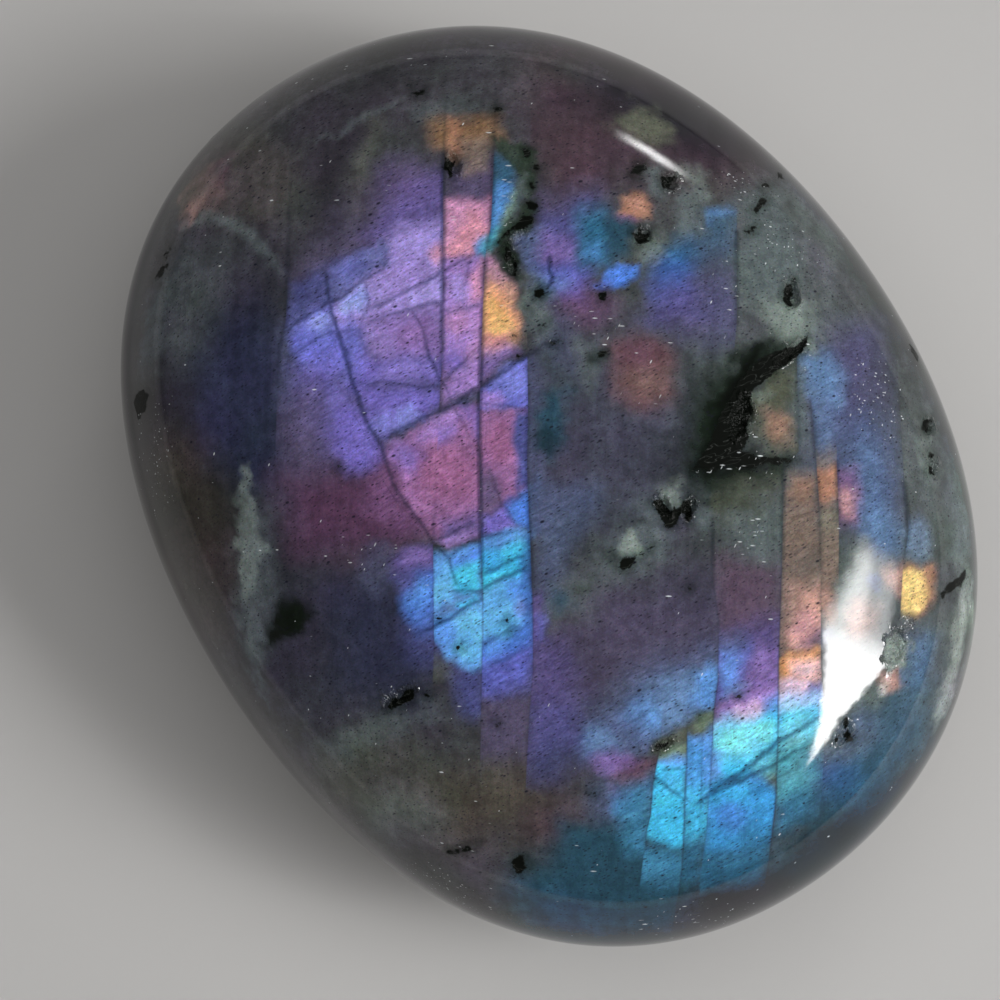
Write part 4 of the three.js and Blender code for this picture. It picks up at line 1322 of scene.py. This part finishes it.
# Cracks: the distance to them, their clouded band, their dark line, and how far they wander.
CRACK_FAMILIES = [
    ("strip_side", "lamella_band", "lamella_shade", 0.0),
    ("rising", "rising_shade", "rising_shade", 1.0),
    ("steep", "steep_shade", "steep_shade", 1.0),
]


def strip_finish(graph):
    """The painted colour and glow, which change at the lines between the strips."""
    side = graph.ramp(graph.attribute("strip_side"), -0.6, 0.6)
    colour = graph.mix(side, graph.attribute("colour_odd", True), graph.attribute("colour_even", True))
    glows = {"Factor": side, "A": graph.attribute("glow_odd"), "B": graph.attribute("glow_even")}
    return colour, graph.node("ShaderNodeMix", glows).outputs["Result"]


def with_mottling(graph, colour, plain, mottle):
    """Lays mottling, a coloured grain and the fine lines of the lamellae over a colour."""
    grain = graph.noise(plain, 8.5, detail=1.0, roughness=0.7, output="Color")
    along = graph.in_lamellae(1.4, 0.05)
    streaks = graph.noise(along, 1.0, detail=3.0, roughness=0.6, dimensions="2D")
    colour = graph.times(colour, graph.ramp(mottle, 0.3, 0.7, 0.80, 1.20))
    colour = graph.times(colour, graph.ramp(streaks, 0.3, 0.7, 0.93, 1.07))
    tinted = graph.mix(0.4, graph.mix(1.0, grain, WHITE, "SATURATION"), grain)
    colour = graph.mix(0.55, colour, graph.times(colour, graph.times(tinted, DOUBLE)))
    fine_line = graph.line(graph.math("SUBTRACT", streaks, 0.5), 0.001, 0.006)
    return graph.mix(graph.math("MULTIPLY", fine_line, 0.16), colour, LINE_INK)


def with_strokes(graph, colour, glow, mottle):
    """Lays strokes that rise to the right over a colour, with painted light on one side and painted shade on
    the other, as if raised.

    Gives back the colour with crevices in it, and how it looks inside one.
    """
    stretch = (0.9, 2.9, 1.6)
    strokes = graph.noise(graph.placed(0, stretch), 1.0, detail=3.0, roughness=0.65, twist=0.5)
    shifted = graph.placed(0, stretch, (0.03, 0.22, 0))
    beside = graph.noise(shifted, 1.0, detail=3.0, roughness=0.65, twist=0.5)
    # painted light and shade of a relief that the surface doesn't have
    lit_and_shaded = graph.ramp(graph.math("SUBTRACT", strokes, beside), -0.20, 0.20, 0.78, 1.20)
    amount = graph.ramp(glow, 0.0, 1.0, 0.2, 0.9)
    colour = graph.mix(amount, colour, graph.times(colour, lit_and_shaded))
    crevice = graph.noise(graph.placed(0.15, (0.28, 1.25, 0.8)), 1.0, detail=3.0, roughness=0.6)
    crevice = graph.line(graph.math("SUBTRACT", crevice, 0.5), 0.008, 0.035)
    crevice = graph.math("MULTIPLY", crevice, graph.ramp(mottle, 0.42, 0.62, 0.0, 0.5))
    dimmed = graph.times(colour, CREVICE_TINT)
    return graph.mix(graph.math("MULTIPLY", crevice, amount), colour, dimmed), dimmed


def with_cracks(graph, colour, dimmed, plain):
    """Lays the cracks over a colour: a clouded band with a dark line along it."""
    wobble = graph.noise(plain, 2.2, detail=2.0, roughness=0.6)
    rough = graph.math("MULTIPLY_ADD", wobble, 4.0, -2.0)
    band, crack = 0.0, 0.0
    for family, wide_shade, narrow_shade, roughness in CRACK_FAMILIES:
        distance = graph.math("MULTIPLY_ADD", rough, roughness, graph.attribute(family))
        wide = graph.math("MULTIPLY", graph.line(distance, 0.8, 4.6), graph.attribute(wide_shade))
        narrow = graph.math("MULTIPLY", graph.line(distance, 0.2, 1.7), graph.attribute(narrow_shade))
        band = graph.math("MAXIMUM", band, wide)
        crack = graph.math("MAXIMUM", crack, narrow)
    colour = graph.mix(graph.ramp(band, 0.0, 1.0), colour, graph.times(colour, BAND_TINT))
    ink = graph.mix(0.5, CRACK_INK, dimmed)
    return graph.mix(graph.math("MULTIPLY", crack, 0.68), colour, ink)


def with_needles(graph, colour, mottle):
    """Lays fine and coarse dark needles over a colour."""
    crowding = graph.ramp(mottle, 0.35, 0.65, 0.45, 1.0)
    fine = graph.specks(turn=0.1, scale=6.6, stretch=2.6, radius=0.26, share=crowding)
    coarse = graph.specks(turn=0.2, scale=2.4, stretch=1.8, radius=0.14, share=0.30)
    needle = graph.math("MAXIMUM", graph.math("MULTIPLY", fine, 0.66), graph.math("MULTIPLY", coarse, 0.9))
    return graph.mix(needle, colour, NEEDLE_BLACK)


def with_grains(graph, colour, plain):
    """Lays the dark grains over a colour, crossed by pale lines that are partly their own veins and partly
    painted glints along their cracks, with a green seam round them. Also gives where.
    """
    edge = graph.noise(plain, 2.6, detail=4.0, roughness=0.7)
    edge = graph.math("ADD", graph.attribute("grain"), graph.math("MULTIPLY_ADD", edge, 10.0, -5.0))
    seam = graph.ramp(edge, -9.0, 0.0, 0.0, 0.6)
    colour = graph.mix(seam, colour, graph.times(colour, SEAM_TINT))
    in_grain = graph.ramp(edge, -0.6, 0.8)
    # pale lines in the grains: partly veins, partly painted glints along their cracks
    vein_glint = graph.noise(graph.placed(0.2, (0.5, 1.8, 1.8)), 1.0, detail=2.0, roughness=0.65)
    vein_glint = graph.line(graph.math("SUBTRACT", vein_glint, 0.5), 0.002, 0.009)
    dark = graph.mix(graph.math("MULTIPLY", vein_glint, 0.28), GRAIN_BLACK, VEIN_GLINT_GREY)
    return graph.mix(in_grain, colour, dark), in_grain


def with_flakes(graph, colour, mottle):
    """Lays bright flakes over a colour as painted glints, two families that lean to either side."""
    glitter = graph.attribute("glitter")
    rising = graph.specks(turn=0.6, scale=5.0, stretch=4.5, radius=0.17, share=glitter)
    falling = graph.specks(turn=-0.5, scale=4.6, stretch=3.4, radius=0.14, share=glitter)
    glint = graph.math("MAXIMUM", rising, falling)
    glint = graph.math("MULTIPLY", glint, graph.ramp(mottle, 0.3, 0.7, 0.15, 1.0))
    return graph.mix(glint, colour, GLINT_WHITE)


def polish(graph, colour, glow, plain, in_grain):
    """The surface: a clear polish over the colour, rougher in the pits and the dark grains."""
    glow = graph.math("MULTIPLY", glow, graph.math("SUBTRACT", 1.0, in_grain))
    base = graph.times(colour, graph.math("MULTIPLY_ADD", glow, -GLOW_SHARE, 1.0))
    pitted = graph.attribute("pitted")
    roughness = graph.ramp(graph.math("MAXIMUM", pitted, in_grain), 0.2, 1.0, 0.06, 0.4)
    waves = graph.math("MULTIPLY", graph.noise(plain, 1.1), 0.3)
    swell = graph.node("ShaderNodeBump", {"Height": waves, "Strength": 0.10, "Distance": 0.0001})
    chips = graph.math("MULTIPLY", graph.noise(plain, 6.0, detail=1.0, roughness=0.7), pitted)
    bump = graph.node("ShaderNodeBump", {
        "Height": chips, "Strength": 0.8, "Distance": 0.0002, "Normal": swell.outputs[0],
    })
    turned_away = graph.node("ShaderNodeLayerWeight", {"Blend": 0.5}).outputs["Facing"]
    gloss = graph.ramp(turned_away, 0.35, 0.9, 0.5, 0.18)
    gloss = graph.math("MULTIPLY", gloss, graph.ramp(in_grain, 0, 1, 1.0, 0.25))
    return graph.node("ShaderNodeBsdfPrincipled", {
        "Base Color": base, "Roughness": roughness, "IOR": 1.56, "Normal": bump.outputs[0],
        "Specular IOR Level": gloss,
        # painted glow: a share of the flashes' colour is emitted
        "Emission Color": graph.mix(glow, UNLIT, colour), "Emission Strength": GLOW_STRENGTH,
    })


def labradorite():
    material, graph = new_finish("polished_labradorite")
    plain = graph.placed(STONE_ROLL)
    mottle = graph.noise(plain, 1.7, detail=3.0, roughness=0.65)
    colour, glow = strip_finish(graph)
    colour = with_mottling(graph, colour, plain, mottle)
    colour, dimmed = with_strokes(graph, colour, glow, mottle)
    colour = with_cracks(graph, colour, dimmed, plain)
    colour = with_needles(graph, colour, mottle)
    colour, in_grain = with_grains(graph, colour, plain)
    colour = with_flakes(graph, colour, mottle)
    shader = polish(graph, colour, glow, plain, in_grain)
    graph.node("ShaderNodeOutputMaterial", {"Surface": shader.outputs[0]})
    return material


def plain_floor():
    material, graph = new_finish("pale_floor")
    shader = graph.node("ShaderNodeBsdfPrincipled", {
        "Base Color": (0.53, 0.52, 0.51, 1), "Roughness": 0.9, "Specular IOR Level": 0.0,
    })
    graph.node("ShaderNodeOutputMaterial", {"Surface": shader.outputs[0]})
    mesh_maker = bmesh.new()
    bmesh.ops.create_circle(mesh_maker, cap_ends=True, segments=96, radius=FLOOR_RADIUS)
    add_object("floor", mesh_maker, material)


# Light and camera, in metres

def soft_box(name, direction, distance, wide, tall, brightness, glossy=True, shape=None):
    """A rectangular light that faces the stone. Its brightness is that of its own surface.

    Its shape fills the light's node tree: what it gives back dims the light from place to place.
    """
    light = bpy.data.lights.new(name, "AREA")
    light.shape = "RECTANGLE"
    light.size, light.size_y = wide, tall
    light.energy = brightness * math.pi * wide * tall
    if shape:
        light.use_nodes = True
        graph = Graph(light.node_tree)
        x, y, _ = graph.split(graph.node("ShaderNodeNewGeometry").outputs["Parametric"], "XYZ")
        across = graph.math("MULTIPLY_ADD", x, wide, -wide / 2)
        up = graph.math("MULTIPLY_ADD", y, tall, -tall / 2)
        emission = graph.node("ShaderNodeEmission", {"Strength": shape(graph, across, up)})
        graph.node("ShaderNodeOutputLight", {"Surface": emission.outputs[0]})
    holder = bpy.data.objects.new(name, light)
    holder.location = Vector(direction) * distance + Vector((0, 0, WAIST_HEIGHT))
    holder.rotation_euler = Vector(direction).to_track_quat("Z", "Y").to_euler()
    holder.visible_camera = False
    holder.visible_glossy = glossy
    bpy.context.scene.collection.objects.link(holder)


def window_shape(graph, across, up):
    """A window behind a curtain: a bright slanting corner, and a dimmer part beside it."""
    place = graph.node("ShaderNodeCombineXYZ", {"X": across, "Y": up}).outputs[0]
    frayed = graph.noise(place, 60.0, detail=2.0, roughness=0.7, dimensions="2D")
    frayed = graph.math("MULTIPLY_ADD", frayed, 0.03, -0.015)

    def above(slope, rise):
        """How far up a place is over a slanting line."""
        line = graph.math("MULTIPLY_ADD", across, slope, rise)
        return graph.math("ADD", graph.math("SUBTRACT", up, line), frayed)

    under_top = graph.math("MULTIPLY", above(0.70, 0.100), -1.0)
    over_foot = graph.math("MAXIMUM", above(0.0, -0.024), above(-0.75, -0.080))
    curtain = graph.ramp(above(-0.6, 0.148), -0.026, 0.026, 1.0, 0.0)
    bright = graph.ramp(graph.math("MINIMUM", under_top, over_foot), -0.004, 0.012)
    bright = graph.math("MULTIPLY", bright, curtain)
    bright = graph.math("MULTIPLY", bright, graph.ramp(across, 0.008, 0.088, 1.0, 0.0))
    haze = graph.ramp(across, 0.135, 0.19, 1.0, 0.0)
    haze = graph.math("MULTIPLY", haze, graph.ramp(across, 0.03, 0.06))
    haze = graph.math("MULTIPLY", haze, graph.ramp(above(0.0, -0.07), -0.02, 0.02))
    haze = graph.math("MULTIPLY", haze, curtain)
    haze = graph.math("MULTIPLY", haze, graph.ramp(up, 0.0, 0.045, 0.26, 0.56))
    return graph.math("MAXIMUM", bright, haze)


def slit_shape(graph, across, up):
    """A slit that is brightest along its middle and fades towards its ends."""
    middle = graph.ramp(graph.math("ABSOLUTE", up), 0.0, 0.024, 1.0, 0.0)
    return graph.math("MULTIPLY", middle, graph.ramp(graph.math("ABSOLUTE", across), 0.008, 0.05, 1.0, 0.0))


def lights():
    soft_box("window", WINDOW_DIRECTION, 0.5, wide=0.36, tall=0.30, brightness=22, shape=window_shape)
    soft_box("strip", SLIT_DIRECTION, 0.5, wide=0.11, tall=0.048, brightness=16, shape=slit_shape)
    soft_box("overhead", (0, 0, 1), 1.2, wide=1.6, tall=1.6, brightness=1.0, glossy=False)


def sky():
    """A dim ceiling over a pale horizon, brighter on the side of the window."""
    world = bpy.data.worlds.new("studio")
    world.use_nodes = True
    graph = Graph(world.node_tree)
    toward = graph.node("ShaderNodeTexCoord").outputs["Generated"]
    rise = graph.ramp(graph.split(toward, "XYZ")[2], 0.0, CEILING_RISE, HORIZON, ZENITH)
    to_window = graph.node("ShaderNodeVectorMath", {0: toward, 1: BRIGHT_SKY}, operation="DOT_PRODUCT")
    side = graph.ramp(to_window.outputs["Value"], *SIDE_SPREAD, DIM_SIDE, WINDOW_SIDE)
    strength = graph.math("MULTIPLY", rise, side)
    background = graph.node("ShaderNodeBackground", {"Color": SKY_WHITE, "Strength": strength})
    graph.node("ShaderNodeOutputWorld", {"Surface": background.outputs[0]})
    bpy.context.scene.world = world


def camera():
    lens = bpy.data.cameras.new("camera")
    lens.sensor_width = SENSOR_WIDTH
    lens.lens = FOCAL_PIXELS * SENSOR_WIDTH / PICTURE_SIDE
    lens.clip_start = 0.01
    holder = bpy.data.objects.new("camera", lens)
    holder.location = Vector(CAMERA_PLACE) * MILLIMETRE + Vector((0, 0, WAIST_HEIGHT))
    turn = Matrix([SHEET_RIGHT.tolist(), CAMERA_UP.tolist(), CAMERA_BACK.tolist()]).transposed()
    holder.rotation_euler = turn.to_euler()
    bpy.context.scene.collection.objects.link(holder)
    bpy.context.scene.camera = holder


stone = polished_stone()
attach(stone, "root")
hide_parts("stone")
plain_floor()
lights()
sky()
camera()
bpy.context.scene.view_settings.view_transform = "Standard"
